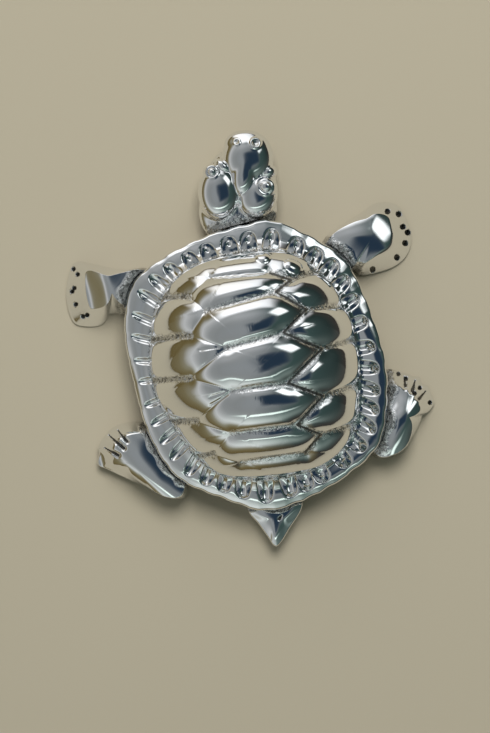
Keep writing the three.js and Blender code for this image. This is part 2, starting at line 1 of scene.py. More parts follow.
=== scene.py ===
"""Turtle paperweight in polished cast aluminium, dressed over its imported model.

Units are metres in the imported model's frame: +Z up from the desk and +Y towards the head. Every casting
repeats the sizes of its solid on a finer net, with the scutes, flutes, eyes, toes and rough seams that the
polished metal shows, and takes its place. The ballast and the screws stay as they are packed.
"""

import logging
import math
from abc import ABC, abstractmethod
from dataclasses import dataclass
from enum import Enum

import bmesh
import bpy
import numpy as np
from mathutils import Matrix, Vector
from numpy.typing import NDArray


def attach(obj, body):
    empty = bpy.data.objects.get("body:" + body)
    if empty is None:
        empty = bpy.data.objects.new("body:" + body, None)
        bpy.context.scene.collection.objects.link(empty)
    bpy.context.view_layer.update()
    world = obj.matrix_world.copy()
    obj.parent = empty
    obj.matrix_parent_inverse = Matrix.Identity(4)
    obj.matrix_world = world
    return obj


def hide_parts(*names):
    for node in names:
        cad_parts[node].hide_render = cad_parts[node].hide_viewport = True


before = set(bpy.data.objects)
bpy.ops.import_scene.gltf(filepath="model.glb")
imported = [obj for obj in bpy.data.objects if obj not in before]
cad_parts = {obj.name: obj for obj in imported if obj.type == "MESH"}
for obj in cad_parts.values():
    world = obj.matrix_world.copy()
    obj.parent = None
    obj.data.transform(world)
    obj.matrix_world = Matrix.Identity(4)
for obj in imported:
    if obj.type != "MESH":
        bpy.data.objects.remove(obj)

Floats = NDArray[np.float64]
Point = tuple[float, float]
Place = tuple[float, float, float]
Tint = tuple[float, float, float]
Colour = tuple[float, float, float, float]
Rows = list[tuple[Floats, Floats | float]]
Socket = bpy.types.NodeSocket
Sockets = dict[str | int, object]
Group = bpy.types.NodeTree

log = logging.getLogger("turtle_paperweight")

BODY = "root"
CAST = "cast"
FULL_TURN = 2 * math.pi
QUARTER_TURN = math.pi / 2
MERGE_REACH = 1e-7

# Levels above the desk, from the felt up, that every piece shares.
SOLE_LEVEL = 0.0004
FELT_TOP = 0.0012
FLOOR_TOP = 0.004
SHELL_UNDERSIDE = 0.0076
RIM_EDGE = 0.0108
DOME_FOOT = 0.0116
DOME_RISE = 0.0160
DOME_TOP = DOME_FOOT + DOME_RISE

# Gaps between the pieces, how far the belly plate stays inside the rim, and the walls that hold the tenons.
SEAM_GAP = 0.0003
RIM_OVERHANG = 0.003
SHELL_WALL = 0.006
TRAY_WALL = 0.003
TENON_WIDTH = 0.007
TENON_ROOT = 0.0026
TENON_SEAT = 0.0006
TENON_SLOT_TOP = 1.5 * SHELL_UNDERSIDE

# Roughness of metal that isn't buffed, from 0 where it is bright to 1 on a raw floor; above 0.74 it also
# paints shade.
CUT_CAST = 0.5
HOLLOW_CAST = 0.6
TRAY_CAST = 0.35

# Waves of a surface shaped by hand: how fast each runs along X, Y and Z, where it starts and its share.
WAVES = (
    (1.9, 1.3, 0.0, 0.4, 1.0),
    (-1.1, 2.3, 1.7, 2.1, 1.0),
    (2.9, -2.3, 0.7, 4.2, 0.6),
    (3.1, 3.7, 0.0, 5.3, 0.4),
)
WAVES_TOTAL = 3.0

# Sockets of the node that mixes two colours, by place, because their names repeat.
MIX_SHARE = 0
MIX_FIRST = 6
MIX_SECOND = 7
MIX_RESULT = 2


class Work(Enum):
    """How a small mark stands in the metal."""

    PIT = "pit"
    EYE = "eye"
    NOSTRIL = "nostril"


class Cut(Enum):
    """What a tool solid does to the piece it is worked into."""

    JOIN = "UNION"
    REMOVE = "DIFFERENCE"


def eased(low: float, high: float, value: Floats | float) -> Floats:
    """Gives values from 0 below the low one to 1 above the high one, smooth between them."""
    share = np.clip((value - low) / (high - low), 0, 1)
    return share * share * (3 - 2 * share)


def bell(value: Floats, middle: float, spread: float) -> Floats:
    """Gives values from 1 at the middle to 0 well beyond the spread."""
    return np.exp(-(((value - middle) / spread) ** 2))


def turned(x: Floats, y: Floats, degrees: float) -> tuple[Floats, Floats]:
    """Splits places in plan into how far they lie ahead and aside in a direction.

    Args:
        x: Places along X.
        y: Places along Y.
        degrees: The direction, from +X towards +Y.

    Returns:
        The parts ahead and aside.
    """
    turn = math.radians(degrees)
    ahead = x * math.cos(turn) + y * math.sin(turn)
    aside = y * math.cos(turn) - x * math.sin(turn)
    return ahead, aside


def segment_distance(x: Floats, y: Floats, start: Point, end: Point) -> Floats:
    """Measures how far places in plan lie from a straight line.

    Args:
        x: Places along X.
        y: Places along Y.
        start: One end of the line.
        end: The other end.

    Returns:
        The distances.
    """
    run_x = end[0] - start[0]
    run_y = end[1] - start[1]
    along = ((x - start[0]) * run_x + (y - start[1]) * run_y) / (run_x**2 + run_y**2)
    along = np.clip(along, 0, 1)
    return np.hypot(x - start[0] - run_x * along, y - start[1] - run_y * along)


def smooth_loop(knots: Floats, steps: int = 24) -> Floats:
    """Runs one smooth closed curve through points in plan.

    Args:
        knots: Points, in order around the curve.
        steps: Points of the curve between two of them.

    Returns:
        Points of the curve.
    """
    before, start, end, after = (np.roll(knots, turn, axis=0) for turn in (1, 0, -1, -2))
    first = np.sqrt(np.linalg.norm(start - before, axis=1, keepdims=True))
    middle = np.sqrt(np.linalg.norm(end - start, axis=1, keepdims=True))
    last = np.sqrt(np.linalg.norm(after - end, axis=1, keepdims=True))
    leave = middle * ((start - before) / first - (end - before) / (first + middle)) + end - start
    arrive = end - start - middle * ((after - start) / (middle + last) - (after - end) / last)
    share = np.linspace(0, 1, steps, endpoint=False)[None, :, None]
    start, end, leave, arrive = (part[:, None, :] for part in (start, end, leave, arrive))
    curve = start + leave * share + (3 * (end - start) - 2 * leave - arrive) * share**2
    curve = curve + (2 * (start - end) + leave + arrive) * share**3
    return curve.reshape(-1, 2)


def loop_radius(loop: Floats, angle: Floats) -> Floats:
    """Measures how far a closed curve lies from the origin in some directions."""
    angles = np.arctan2(loop[:, 1], loop[:, 0])
    return np.interp(angle, angles, np.hypot(loop[:, 0], loop[:, 1]), period=FULL_TURN)


def all_around(columns: int) -> Floats:
    """Gives the directions of evenly spaced columns."""
    return np.linspace(0, FULL_TURN, columns, endpoint=False)


def ring_points(angle: Floats, rows: Rows) -> Floats:
    """Gives the places of rows of distances and heights, each once around."""
    flat = 0 * angle
    return np.stack([np.stack([r * np.cos(angle), r * np.sin(angle), z + flat], axis=1) for r, z in rows])


def unevenness(points: Floats, reach: float) -> Floats:
    """Gives the soft unevenness of a surface that was shaped by hand.

    Args:
        points: Places in metres, the last axis being X, Y and Z.
        reach: Length over which the surface wanders.

    Returns:
        Values between about -1 and 1, one for each place.
    """
    x, y, z = np.moveaxis(points / reach, -1, 0)
    waves = [share * np.sin(a * x + b * y + c * z + start) for a, b, c, start, share in WAVES]
    return sum(waves) / WAVES_TOTAL


def finished_object(name: str, shape: bmesh.types.BMesh) -> bpy.types.Object:
    """Closes a shape, turns its faces out and makes it an object of the scene.

    Args:
        name: Name of the piece.
        shape: Shape in metres, in the model's frame. It is freed.

    Returns:
        The new object, at the origin.
    """
    bmesh.ops.remove_doubles(shape, verts=shape.verts[:], dist=MERGE_REACH)
    bmesh.ops.recalc_face_normals(shape, faces=shape.faces[:])
    for face in shape.faces:
        face.smooth = True
    mesh = bpy.data.meshes.new(name)
    shape.to_mesh(mesh)
    shape.free()
    piece = bpy.data.objects.new(name, mesh)
    bpy.context.scene.collection.objects.link(piece)
    return piece


def net_object(name: str, points: Floats, cast: Floats) -> bpy.types.Object:
    """Lays a grid over rows of points that each run once around, and closes it.

    Args:
        name: Name of the piece.
        points: Places as rows, columns and X, Y, Z. The first and last row meet in a point or a fold.
        cast: How rough the casting was left, as rows and columns.

    Returns:
        The new object.
    """
    rows, columns = cast.shape
    shape = bmesh.new()
    layer = shape.verts.layers.float.new(CAST)
    bmesh.ops.create_grid(shape, x_segments=columns, y_segments=rows - 1, size=1)
    for vert in shape.verts:
        column = round((vert.co.x + 1) / 2 * columns) % columns
        row = round((vert.co.y + 1) / 2 * (rows - 1))
        vert.co = points[row, column]
        vert[layer] = cast[row, column]
    return finished_object(name, shape)


def tool_object(shape: bmesh.types.BMesh) -> bpy.types.Object:
    """Makes a tool solid of a shape, with the roughness that its walls leave.

    Args:
        shape: Shape in metres, in the model's frame. It is freed.

    Returns:
        The tool.
    """
    layer = shape.verts.layers.float.new(CAST)
    for vert in shape.verts:
        vert[layer] = CUT_CAST
    return finished_object("tool", shape)


def worked(piece: bpy.types.Object, tool: bpy.types.Object, cut: Cut) -> None:
    """Joins a tool solid to a piece or removes it, and deletes the tool.

    Args:
        piece: Piece that is changed.
        tool: Solid that is joined or removed.
        cut: What is done with the tool.
    """
    modifier = piece.modifiers.new("work", "BOOLEAN")
    modifier.object = tool
    modifier.operation = cut.value
    modifier.solver = "MANIFOLD"
    graph = bpy.context.evaluated_depsgraph_get()
    mesh = bpy.data.meshes.new_from_object(piece.evaluated_get(graph))
    piece.modifiers.clear()
    plain = piece.data
    piece.data = mesh
    bpy.data.meshes.remove(plain)
    mesh.name = piece.name
    bpy.data.objects.remove(tool)


def dressed(piece: bpy.types.Object, node: str, finish: bpy.types.Material) -> None:
    """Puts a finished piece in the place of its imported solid.

    Args:
        piece: The finished piece.
        node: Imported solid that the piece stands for.
        finish: Material of the piece.
    """
    piece.data.materials.clear()
    piece.data.materials.append(finish)
    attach(piece, BODY)
    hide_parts(node)
    log.info("%s: %d vertices, replaces %s", piece.name, len(piece.data.vertices), node)


class Nodes:
    """Nodes of one shader tree, added with their settings and wires."""

    def __init__(self, tree: Group) -> None:
        """Empties a tree and keeps it."""
        self.tree = tree
        tree.nodes.clear()

    def add(self, kind: str, sockets: Sockets | None = None, **settings: object) -> bpy.types.Node:
        """Adds a node.

        Args:
            kind: Blender's name for the node.
            sockets: Values or wires for the node's inputs, by name or place.
            **settings: Attributes of the node.

        Returns:
            The new node.
        """
        node = self.tree.nodes.new(kind)
        for name, value in settings.items():
            setattr(node, name, value)
        for name, value in (sockets or {}).items():
            if isinstance(value, Socket):
                self.tree.links.new(value, node.inputs[name])
            else:
                node.inputs[name].default_value = value
        return node

    def noise(
        self, vector: Socket, scale: Socket | float, detail: float = 4.0, roughness: float = 0.55
    ) -> Socket:
        """Adds a noise and returns its value."""
        sockets = {"Vector": vector, "Scale": scale, "Detail": detail, "Roughness": roughness}
        return self.add("ShaderNodeTexNoise", sockets).outputs["Fac"]

    def fibres(self, vector: Socket, scale: Place, turn: float, detail: float) -> Socket:
        """Adds a noise drawn out along one direction, turned about Z, and returns its value."""
        sockets = {"Vector": vector, "Scale": scale, "Rotation": (0.0, 0.0, turn)}
        return self.noise(self.add("ShaderNodeMapping", sockets).outputs["Vector"], 1.0, detail)

    def math(self, operation: str, *values: Socket | float) -> Socket:
        """Adds an operation on some values and returns its result."""
        return self.add("ShaderNodeMath", dict(enumerate(values)), operation=operation).outputs["Value"]

    def dot(self, first: Socket, second: Place) -> Socket:
        """Adds the dot product of two vectors and returns it."""
        sockets = {0: first, 1: second}
        return self.add("ShaderNodeVectorMath", sockets, operation="DOT_PRODUCT").outputs["Value"]

    def ranged(self, value: Socket, span: Point, to: Point = (0.0, 1.0)) -> Socket:
        """Maps a span of values onto another, clamped, and returns it."""
        sockets = {"Value": value, "From Min": span[0], "From Max": span[1], "To Min": to[0], "To Max": to[1]}
        return self.add("ShaderNodeMapRange", sockets, clamp=True).outputs["Result"]

    def mixed(self, share: Socket, first: Socket | Colour, second: Socket | Colour) -> Socket:
        """Mixes two colours by a share and returns the result."""
        sockets = {MIX_SHARE: share, MIX_FIRST: first, MIX_SECOND: second}
        return self.add("ShaderNodeMix", sockets, data_type="RGBA").outputs[MIX_RESULT]

    def ramp(self, value: Socket, stops: tuple[tuple[float, Tint], ...]) -> Socket:
        """Colours a value by stops of place and colour.

        Args:
            value: The value.
            stops: Places and colours, in order.

        Returns:
            The colour.
        """
        node = self.add("ShaderNodeValToRGB", {"Fac": value})
        elements = node.color_ramp.elements
        while len(elements) < len(stops):
            elements.new(1.0)
        for element, (place, colour) in zip(elements, stops, strict=True):
            element.position = place
            element.color = (*colour, 1.0)
        return node.outputs["Color"]

    def group(self, tree: Group, **sockets: Socket | float) -> bpy.types.bpy_prop_collection:
        """Adds a shader group and returns its outputs."""
        return self.add("ShaderNodeGroup", sockets, node_tree=tree).outputs

    def bump(self, height: Socket, distance: float, **normal: Socket) -> Socket:
        """Adds a bump, over another one where its normal is given, and returns its normal."""
        sockets = {"Height": height, "Distance": distance, **normal}
        return self.add("ShaderNodeBump", sockets).outputs["Normal"]

    def surface(self, sockets: Sockets) -> None:
        """Adds the surface's shader and wires it to the output."""
        shader = self.add("ShaderNodeBsdfPrincipled", sockets)
        self.add("ShaderNodeOutputMaterial", {"Surface": shader.outputs["BSDF"]})


def material_nodes(name: str) -> tuple[bpy.types.Material, Nodes, Socket]:
    """Starts a material.

    Args:
        name: Name of the finish.

    Returns:
        The material, its nodes and the object coordinates.
    """
    material = bpy.data.materials.new(name)
    material.use_nodes = True
    nodes = Nodes(material.node_tree)
    return material, nodes, nodes.add("ShaderNodeTexCoord").outputs["Object"]


def shader_group(name: str, inputs: dict[str, str], outputs: list[str]) -> tuple[Nodes, list[Socket]]:
    """Starts a shader group.

    Args:
        name: Name of the group.
        inputs: Kinds of the inputs by name.
        outputs: Names of the values that the group puts out.

    Returns:
        The group's nodes and the sockets that bring its inputs.
    """
    group = bpy.data.node_groups.new(name, "ShaderNodeTree")
    for socket, kind in inputs.items():
        group.interface.new_socket(socket, in_out="INPUT", socket_type=kind)
    for socket in outputs:
        group.interface.new_socket(socket, in_out="OUTPUT", socket_type="NodeSocketFloat")
    nodes = Nodes(group)
    entry = nodes.add("NodeGroupInput")
    return nodes, [entry.outputs[socket] for socket in inputs]


@dataclass(frozen=True)
class SandGrain:
    """Grain that the sand mould leaves on every raw casting, with patches that hold dark residue."""

    cell_height: float = 1.2
    finer: float = 2.7
    noise_roughness: float = 0.5
    fine_detail: float = 3.0
    patch_detail: float = 4.0
    patch_span: Point = (0.50, 0.60)

    def group(self) -> Group:
        """Makes the grain as a shader group.

        Returns:
            A group that puts out the grain's height and where residue sits in it.
        """
        inputs = {"Vector": "NodeSocketVector", "Fineness": "NodeSocketFloat"}
        nodes, (vector, fineness) = shader_group("sand_grain", inputs, ["Height", "Residue"])
        cells = nodes.add("ShaderNodeTexVoronoi", {"Vector": vector, "Scale": fineness}, feature="SMOOTH_F1")
        finer = nodes.math("MULTIPLY", fineness, self.finer)
        fine = nodes.noise(vector, finer, self.fine_detail, self.noise_roughness)
        height = nodes.math("MULTIPLY_ADD", cells.outputs["Distance"], self.cell_height, fine)
        patches = nodes.noise(vector, fineness, self.patch_detail, self.noise_roughness)
        residue = nodes.ranged(patches, self.patch_span)
        nodes.add("NodeGroupOutput", {"Height": height, "Residue": residue})
        return nodes.tree


@dataclass(frozen=True)
class BuffMarks:
    """Fine marks that a buffing wheel and handling leave on bright metal."""

    one_way: Place = (9000.0, 700.0, 3000.0)
    one_turn: float = 0.5
    other_way: Place = (800.0, 8000.0, 3000.0)
    other_turn: float = -0.3
    detail: float = 2.0
    smear_scale: float = 210.0
    smear_detail: float = 6.0
    smear_roughness: float = 0.6
    smear_span: Point = (0.42, 0.74)

    def group(self) -> Group:
        """Makes the marks as a shader group.

        Returns:
            A group that puts out the height of the marks and a smear that dulls the polish.
        """
        nodes, (vector,) = shader_group("buff_marks", {"Vector": "NodeSocketVector"}, ["Height", "Smear"])
        one_way = nodes.fibres(vector, self.one_way, self.one_turn, self.detail)
        other_way = nodes.fibres(vector, self.other_way, self.other_turn, self.detail)
        height = nodes.math("ADD", one_way, other_way)
        smear = nodes.noise(vector, self.smear_scale, self.smear_detail, self.smear_roughness)
        nodes.add("NodeGroupOutput", {"Height": height, "Smear": nodes.ranged(smear, self.smear_span)})
        return nodes.tree


@dataclass(frozen=True)
class PolishedAluminium:
    """Sand-cast aluminium, buffed bright where the wheel reaches and left rough in the grooves and seams,
    with dark residue specks there and painted shade that darkens the deepest grooves, pits, creases and
    seams.
    """

    bright: Colour = (0.90, 0.905, 0.912, 1.0)
    rough: Colour = (0.90, 0.90, 0.89, 1.0)
    # Dark colour of the residue specks, also used for the painted shade in the roughest recesses.
    residue: Colour = (0.10, 0.095, 0.085, 1.0)
    # Span of roughness over which the metal takes painted shade, and how far that shade darkens it.
    deep_span: Point = (0.74, 0.96)
    recess_shade: Point = (0.0, 0.95)
    polish: Point = (0.04, 0.10)
    rough_roughness: float = 0.12
    grain_fineness: float = 1200.0
    grain_depth: float = 0.00022
    mark_depth: float = 0.0000012

    def material(self, grain: Group, buff: Group) -> bpy.types.Material:
        """Builds the material.

        Args:
            grain: Group with the sand grain.
            buff: Group with the buffing marks.

        Returns:
            The material.
        """
        material, nodes, place = material_nodes("polished_aluminium")
        cast = nodes.add("ShaderNodeAttribute", attribute_name=CAST).outputs["Fac"]
        sand = nodes.group(grain, Vector=place, Fineness=self.grain_fineness)
        marks = nodes.group(buff, Vector=place)
        # Residue specks in the rough metal, and painted shade that darkens the roughest grooves, pits,
        # creases and seams toward the dark colour.
        specks = nodes.math("MULTIPLY", cast, sand["Residue"])
        residue_and_shade = nodes.math("MAXIMUM", specks, nodes.ranged(cast, self.deep_span, self.recess_shade))
        metal = nodes.mixed(cast, self.bright, self.rough)
        polish = nodes.ranged(marks["Smear"], (0.0, 1.0), self.polish)
        dull = nodes.math("MULTIPLY", cast, self.rough_roughness)
        lift = nodes.math("MULTIPLY", cast, sand["Height"])
        grained = nodes.bump(lift, self.grain_depth)
        sockets = {
            "Base Color": nodes.mixed(residue_and_shade, metal, self.residue),
            "Roughness": nodes.math("ADD", polish, dull),
            "Metallic": 1.0,
            "Normal": nodes.bump(marks["Height"], self.mark_depth, Normal=grained),
        }
        nodes.surface(sockets)
        return material


@dataclass(frozen=True)
class CastIron:
    """Rough grey iron of the ballast, with rust starting in its pores."""

    iron: Colour = (0.115, 0.110, 0.105, 1.0)
    rust: Colour = (0.145, 0.080, 0.045, 1.0)
    roughness: Point = (0.55, 0.85)
    metallic: Point = (0.9, 0.3)
    grain_fineness: float = 900.0
    grain_depth: float = 0.0003

    def material(self, grain: Group) -> bpy.types.Material:
        """Builds the material.

        Args:
            grain: Group with the sand grain.

        Returns:
            The material.
        """
        material, nodes, place = material_nodes("ballast_iron")
        sand = nodes.group(grain, Vector=place, Fineness=self.grain_fineness)
        sockets = {
            "Base Color": nodes.mixed(sand["Residue"], self.iron, self.rust),
            "Roughness": nodes.ranged(sand["Residue"], (0.0, 1.0), self.roughness),
            "Metallic": nodes.ranged(sand["Residue"], (0.0, 1.0), self.metallic),
            "Normal": nodes.bump(sand["Height"], self.grain_depth),
        }
        nodes.surface(sockets)
        return material


@dataclass(frozen=True)
class ScrewSteel:
    """Bright zinc over turned steel."""

    zinc: Colour = (0.60, 0.61, 0.60, 1.0)
    bloom: Colour = (0.47, 0.48, 0.49, 1.0)
    roughness: Point = (0.22, 0.42)
    mark_depth: float = 0.000004

    def material(self, buff: Group) -> bpy.types.Material:
        """Builds the material.

        Args:
            buff: Group with the buffing marks.

        Returns:
            The material.
        """
        material, nodes, place = material_nodes("screw_steel")
        marks = nodes.group(buff, Vector=place)
        sockets = {
            "Base Color": nodes.mixed(marks["Smear"], self.zinc, self.bloom),
            "Roughness": nodes.ranged(marks["Smear"], (0.0, 1.0), self.roughness),
            "Metallic": 1.0,
            "Normal": nodes.bump(marks["Height"], self.mark_depth),
        }
        nodes.surface(sockets)
        return material


@dataclass(frozen=True)
class GreenFelt:
    """Pressed wool felt with loose fibres on its face."""

    dark: Colour = (0.008, 0.030, 0.018, 1.0)
    light: Colour = (0.030, 0.085, 0.052, 1.0)
    one_way: Place = (6000.0, 900.0, 2500.0)
    one_turn: float = 0.9
    other_way: Place = (1000.0, 5200.0, 2500.0)
    other_turn: float = 0.3
    detail: float = 5.0
    clump_scale: float = 340.0
    light_span: Point = (0.2, 0.42)
    fibre_depth: float = 0.00025
    roughness: float = 0.95
    sheen: float = 0.35
    sheen_roughness: float = 0.6

    def material(self) -> bpy.types.Material:
        """Builds the material.

        Returns:
            The material.
        """
        material, nodes, place = material_nodes("felt")
        one_way = nodes.fibres(place, self.one_way, self.one_turn, self.detail)
        other_way = nodes.fibres(place, self.other_way, self.other_turn, self.detail)
        fibres = nodes.math("MAXIMUM", one_way, other_way)
        clumps = nodes.noise(place, self.clump_scale, self.detail)
        share = nodes.ranged(nodes.math("MULTIPLY", fibres, clumps), self.light_span)
        sockets = {
            "Base Color": nodes.mixed(share, self.dark, self.light),
            "Roughness": self.roughness,
            "Sheen Weight": self.sheen,
            "Sheen Roughness": self.sheen_roughness,
            "Normal": nodes.bump(fibres, self.fibre_depth),
        }
        nodes.surface(sockets)
        return material


@dataclass(frozen=True)
class ShellPlan:
    """Plan of the shell: the hand-cut edge of the rim and the foot of the dome inside it.

    The points of the two outlines are shares of half the width and half the length, clockwise from the front.
    """

    width: float = 0.0634
    length: float = 0.0728
    rim_side_width: float = 0.006
    rim_end_width: float = 0.0086
    squareness: float = 2.5
    side_rise: float = 0.0008
    front_rise: float = 0.0030
    rear_rise: float = 0.0022
    outline: tuple[Point, ...] = (
        (0.041, 0.969), (0.243, 0.979), (0.429, 0.904), (0.65, 0.77), (0.79, 0.655), (0.895, 0.437),
        (0.979, 0.137), (1.011, -0.07), (0.986, -0.347), (0.879, -0.641), (0.592, -0.832), (0.205, -0.97),
        (-0.08, -1.0), (-0.39, -0.885), (-0.726, -0.705), (-0.896, -0.437), (-0.98, -0.033), (-1.0, 0.385),
        (-0.893, 0.662), (-0.652, 0.805), (-0.319, 0.915),
    )
    foot: tuple[Point, ...] = (
        (-0.007, 0.768), (0.17, 0.761), (0.324, 0.729), (0.453, 0.666), (0.568, 0.567), (0.652, 0.46),
        (0.754, 0.203), (0.771, -0.065), (0.733, -0.337), (0.701, -0.462), (0.63, -0.575), (0.512, -0.671),
        (0.374, -0.734), (0.193, -0.759), (-0.006, -0.767), (-0.201, -0.75), (-0.373, -0.707),
        (-0.496, -0.625), (-0.593, -0.513), (-0.751, -0.261), (-0.808, -0.134), (-0.831, -0.015),
        (-0.827, 0.123), (-0.765, 0.383), (-0.708, 0.489), (-0.621, 0.586), (-0.501, 0.668), (-0.349, 0.726),
        (-0.186, 0.756),
    )

    def loop(self, shares: tuple[Point, ...]) -> Floats:
        """Runs one smooth closed curve, anticlockwise, through the points of an outline."""
        return smooth_loop(np.array(shares)[::-1] * (self.width / 2, self.length / 2))

    def rim_radius(self, angle: Floats, inset: float = 0.0) -> Floats:
        """Measures how far the rim's edge lies from the middle of the shell.

        Args:
            angle: Directions in plan.
            inset: How far the edge is drawn in, at right angles to itself.

        Returns:
            The distances.
        """
        loop = self.loop(self.outline)
        along = np.roll(loop, -1, axis=0) - np.roll(loop, 1, axis=0)
        along = along / np.linalg.norm(along, axis=1, keepdims=True)
        return loop_radius(loop + np.stack([-along[:, 1], along[:, 0]], axis=1) * inset, angle)

    def hollow_radius(self, angle: Floats, inset: float) -> Floats:
        """Measures how far the even form of the hollow lies from the middle of the shell.

        Args:
            angle: Directions in plan.
            inset: How far the form is drawn in.

        Returns:
            The distances.
        """
        across = np.abs(np.cos(angle) / (self.width / 2 - self.rim_side_width - inset))
        along = np.abs(np.sin(angle) / (self.length / 2 - self.rim_end_width - inset))
        return (across**self.squareness + along**self.squareness) ** (-1 / self.squareness)

    def foot_radius(self, angle: Floats) -> Floats:
        """Gives the distance of the dome's foot."""
        return loop_radius(self.loop(self.foot), angle)

    def foot_level(self, angle: Floats) -> Floats:
        """Finds the level at which the dome stands on the rim, higher at the two ends.

        Args:
            angle: Directions in plan.

        Returns:
            The levels.
        """
        front = (self.front_rise - self.side_rise) * np.maximum(0, np.sin(angle)) ** 3
        rear = (self.rear_rise - self.side_rise) * np.maximum(0, -np.sin(angle)) ** 3
        return RIM_EDGE + self.side_rise + front + rear


PLAN = ShellPlan()


def beyond_rim(x: Floats, y: Floats, inset: float) -> Floats:
    """Measures how far places lie outside the rim, drawn in by an inset."""
    return np.hypot(x, y) - PLAN.rim_radius(np.arctan2(y, x), inset)


def radial_place(radius: float, around: float) -> Point:
    """Gives the place at a distance from the middle, in a direction in degrees."""
    return radius * math.cos(math.radians(around)), radius * math.sin(math.radians(around))


@dataclass(frozen=True)
class Trim:
    """How a groove was worked: its floor, its banks and how rough it was left.

    The two reaches are those of the scutes' swell, on the side of the head and on the side of the tail.
    """

    half_width: float
    depth: float
    bank: float
    # How rough the groove's floor is left; above 0.74 it also paints shade into the groove.
    grit: float
    ahead: float
    behind: float


@dataclass(frozen=True)
class Groove:
    """One straight groove between scutes, in plan."""

    start: Point
    end: Point
    trim: Trim

    def away(self, x: Floats, y: Floats) -> Floats:
        """Measures how far places lie outside the groove's floor."""
        return np.maximum(segment_distance(x, y, self.start, self.end) - self.trim.half_width, 0)

    def reach(self, x: Floats, y: Floats) -> Floats:
        """Finds the reach of the scutes' swell on the side of the groove where each place lies.

        Args:
            x: Places along X.
            y: Places along Y.

        Returns:
            The reaches.
        """
        run = (self.end[0] - self.start[0], self.end[1] - self.start[1])
        aside = (run[0] * (y - self.start[1]) - run[1] * (x - self.start[0])) * math.copysign(1, run[0])
        return np.where(aside > 0, self.trim.ahead, self.trim.behind)


@dataclass(frozen=True)
class Flank:
    """Grooves on one side of the dome, from the front to the rear.

    The ends are those of the grooves across the dome. The tips lie between them, where the grooves along the
    flank meet those that run out to the rim, each in its own direction.
    """

    ends: tuple[Point, ...]
    tips: tuple[Point, ...]
    runs: tuple[Point, ...]
    along: Trim
    outer: Trim
    outer_run: float = 4.0

    def grooves(self) -> list[Groove]:
        """Lists the grooves along the flank and out from it.

        Returns:
            The grooves.
        """
        grooves = []
        for before, tip, after, run in zip(self.ends[:-1], self.tips, self.ends[1:], self.runs, strict=True):
            far = (tip[0] + self.outer_run * run[0], tip[1] + self.outer_run * run[1])
            grooves += [Groove(before, tip, self.along), Groove(tip, after, self.along)]
            grooves.append(Groove(tip, far, self.outer))
        return grooves


LEFT_FLANK = Flank(
    ends=(
        (-0.0090, 0.0224), (-0.0108, 0.0146), (-0.0069, 0.0050), (-0.0069, -0.0054), (-0.0083, -0.0158),
        (-0.0067, -0.0230),
    ),
    tips=(
        (-0.0144, 0.0185), (-0.0154, 0.0090), (-0.0167, -0.0012), (-0.0164, -0.0116), (-0.0133, -0.0202),
    ),
    runs=(
        (-0.0069, 0.0009), (-0.0092, 0.0005), (-0.0095, 0.0005), (-0.0067, 0.0003), (-0.0065, -0.0006),
    ),
    along=Trim(half_width=0.0, depth=0.6, bank=0.15, grit=0.0, ahead=0.0026, behind=0.0020),
    outer=Trim(half_width=0.0004, depth=1.0, bank=0.30, grit=0.81, ahead=0.0018, behind=0.0018),
)
RIGHT_FLANK = Flank(
    ends=(
        (0.0059, 0.0220), (0.0067, 0.0172), (0.0073, 0.0070), (0.0069, -0.0053), (0.0079, -0.0157),
        (0.0092, -0.0226),
    ),
    tips=(
        (0.0108, 0.0197), (0.0135, 0.0120), (0.0162, 0.0020), (0.0151, -0.0095), (0.0134, -0.0188),
    ),
    runs=(
        (0.0060, 0.0012), (0.0089, -0.0001), (0.0069, 0.0011), (0.0073, 0.0015), (0.0067, 0.0012),
    ),
    along=Trim(half_width=0.0002, depth=1.0, bank=0.30, grit=0.95, ahead=0.0014, behind=0.0013),
    outer=Trim(half_width=0.0003, depth=1.0, bank=0.34, grit=0.6, ahead=0.0020, behind=0.0020),
)


@dataclass(frozen=True)
class Scutes:
    """Scutes of the dome: pillows that stand up between grooves."""

    rise: float = 0.0018
    bank_reach: float = 0.0004
    grit_reach: float = 0.0004
    left: Flank = LEFT_FLANK
    right: Flank = RIGHT_FLANK
    front: Trim = Trim(half_width=0.0, depth=0.9, bank=0.30, grit=0.0, ahead=0.0014, behind=0.0021)
    cross: Trim = Trim(half_width=0.0002, depth=1.0, bank=0.30, grit=0.55, ahead=0.0016, behind=0.0021)
    slits: tuple[tuple[Point, Point], ...] = (
        ((-0.0130, 0.0051), (-0.0089, 0.0053)),
        ((-0.0118, -0.0061), (-0.0090, -0.0056)),
        ((-0.0121, -0.0080), (-0.0078, -0.0062)),
    )
    slit_half_width: float = 0.0003
    slit_depth: float = 0.0002

    def grooves(self) -> list[Groove]:
        """Lists the grooves across the dome, from the front, and those of the two flanks.

        Returns:
            The grooves.
        """
        trims = [self.front] + [self.cross] * (len(self.left.ends) - 1)
        across = [Groove(*places) for places in zip(self.left.ends, self.right.ends, trims, strict=True)]
        return across + self.left.grooves() + self.right.grooves()

    def stand(self, x: Floats, y: Floats) -> tuple[Floats, Floats]:
        """Finds how far the scutes stand out, and how rough the metal was left.

        Args:
            x: Places along X.
            y: Places along Y.

        Returns:
            Heights in metres, and shares from 0 on a scute to 1 on a rough floor.
        """
        height = np.full_like(x, self.rise)
        rough = np.zeros_like(x)
        for groove in self.grooves():
            away = groove.away(x, y)
            bank = groove.trim.bank * np.exp(-away / self.bank_reach)
            swell = (groove.trim.depth - groove.trim.bank) * np.exp(-away / groove.reach(x, y))
            height = height * (1 - bank - swell)
            rough = np.maximum(rough, groove.trim.grit * bell(away, 0.0, self.grit_reach))
        for start, end in self.slits:
            away = segment_distance(x, y, start, end)
            height = height - self.slit_depth * bell(away, 0.0, self.slit_half_width)
        return height, rough


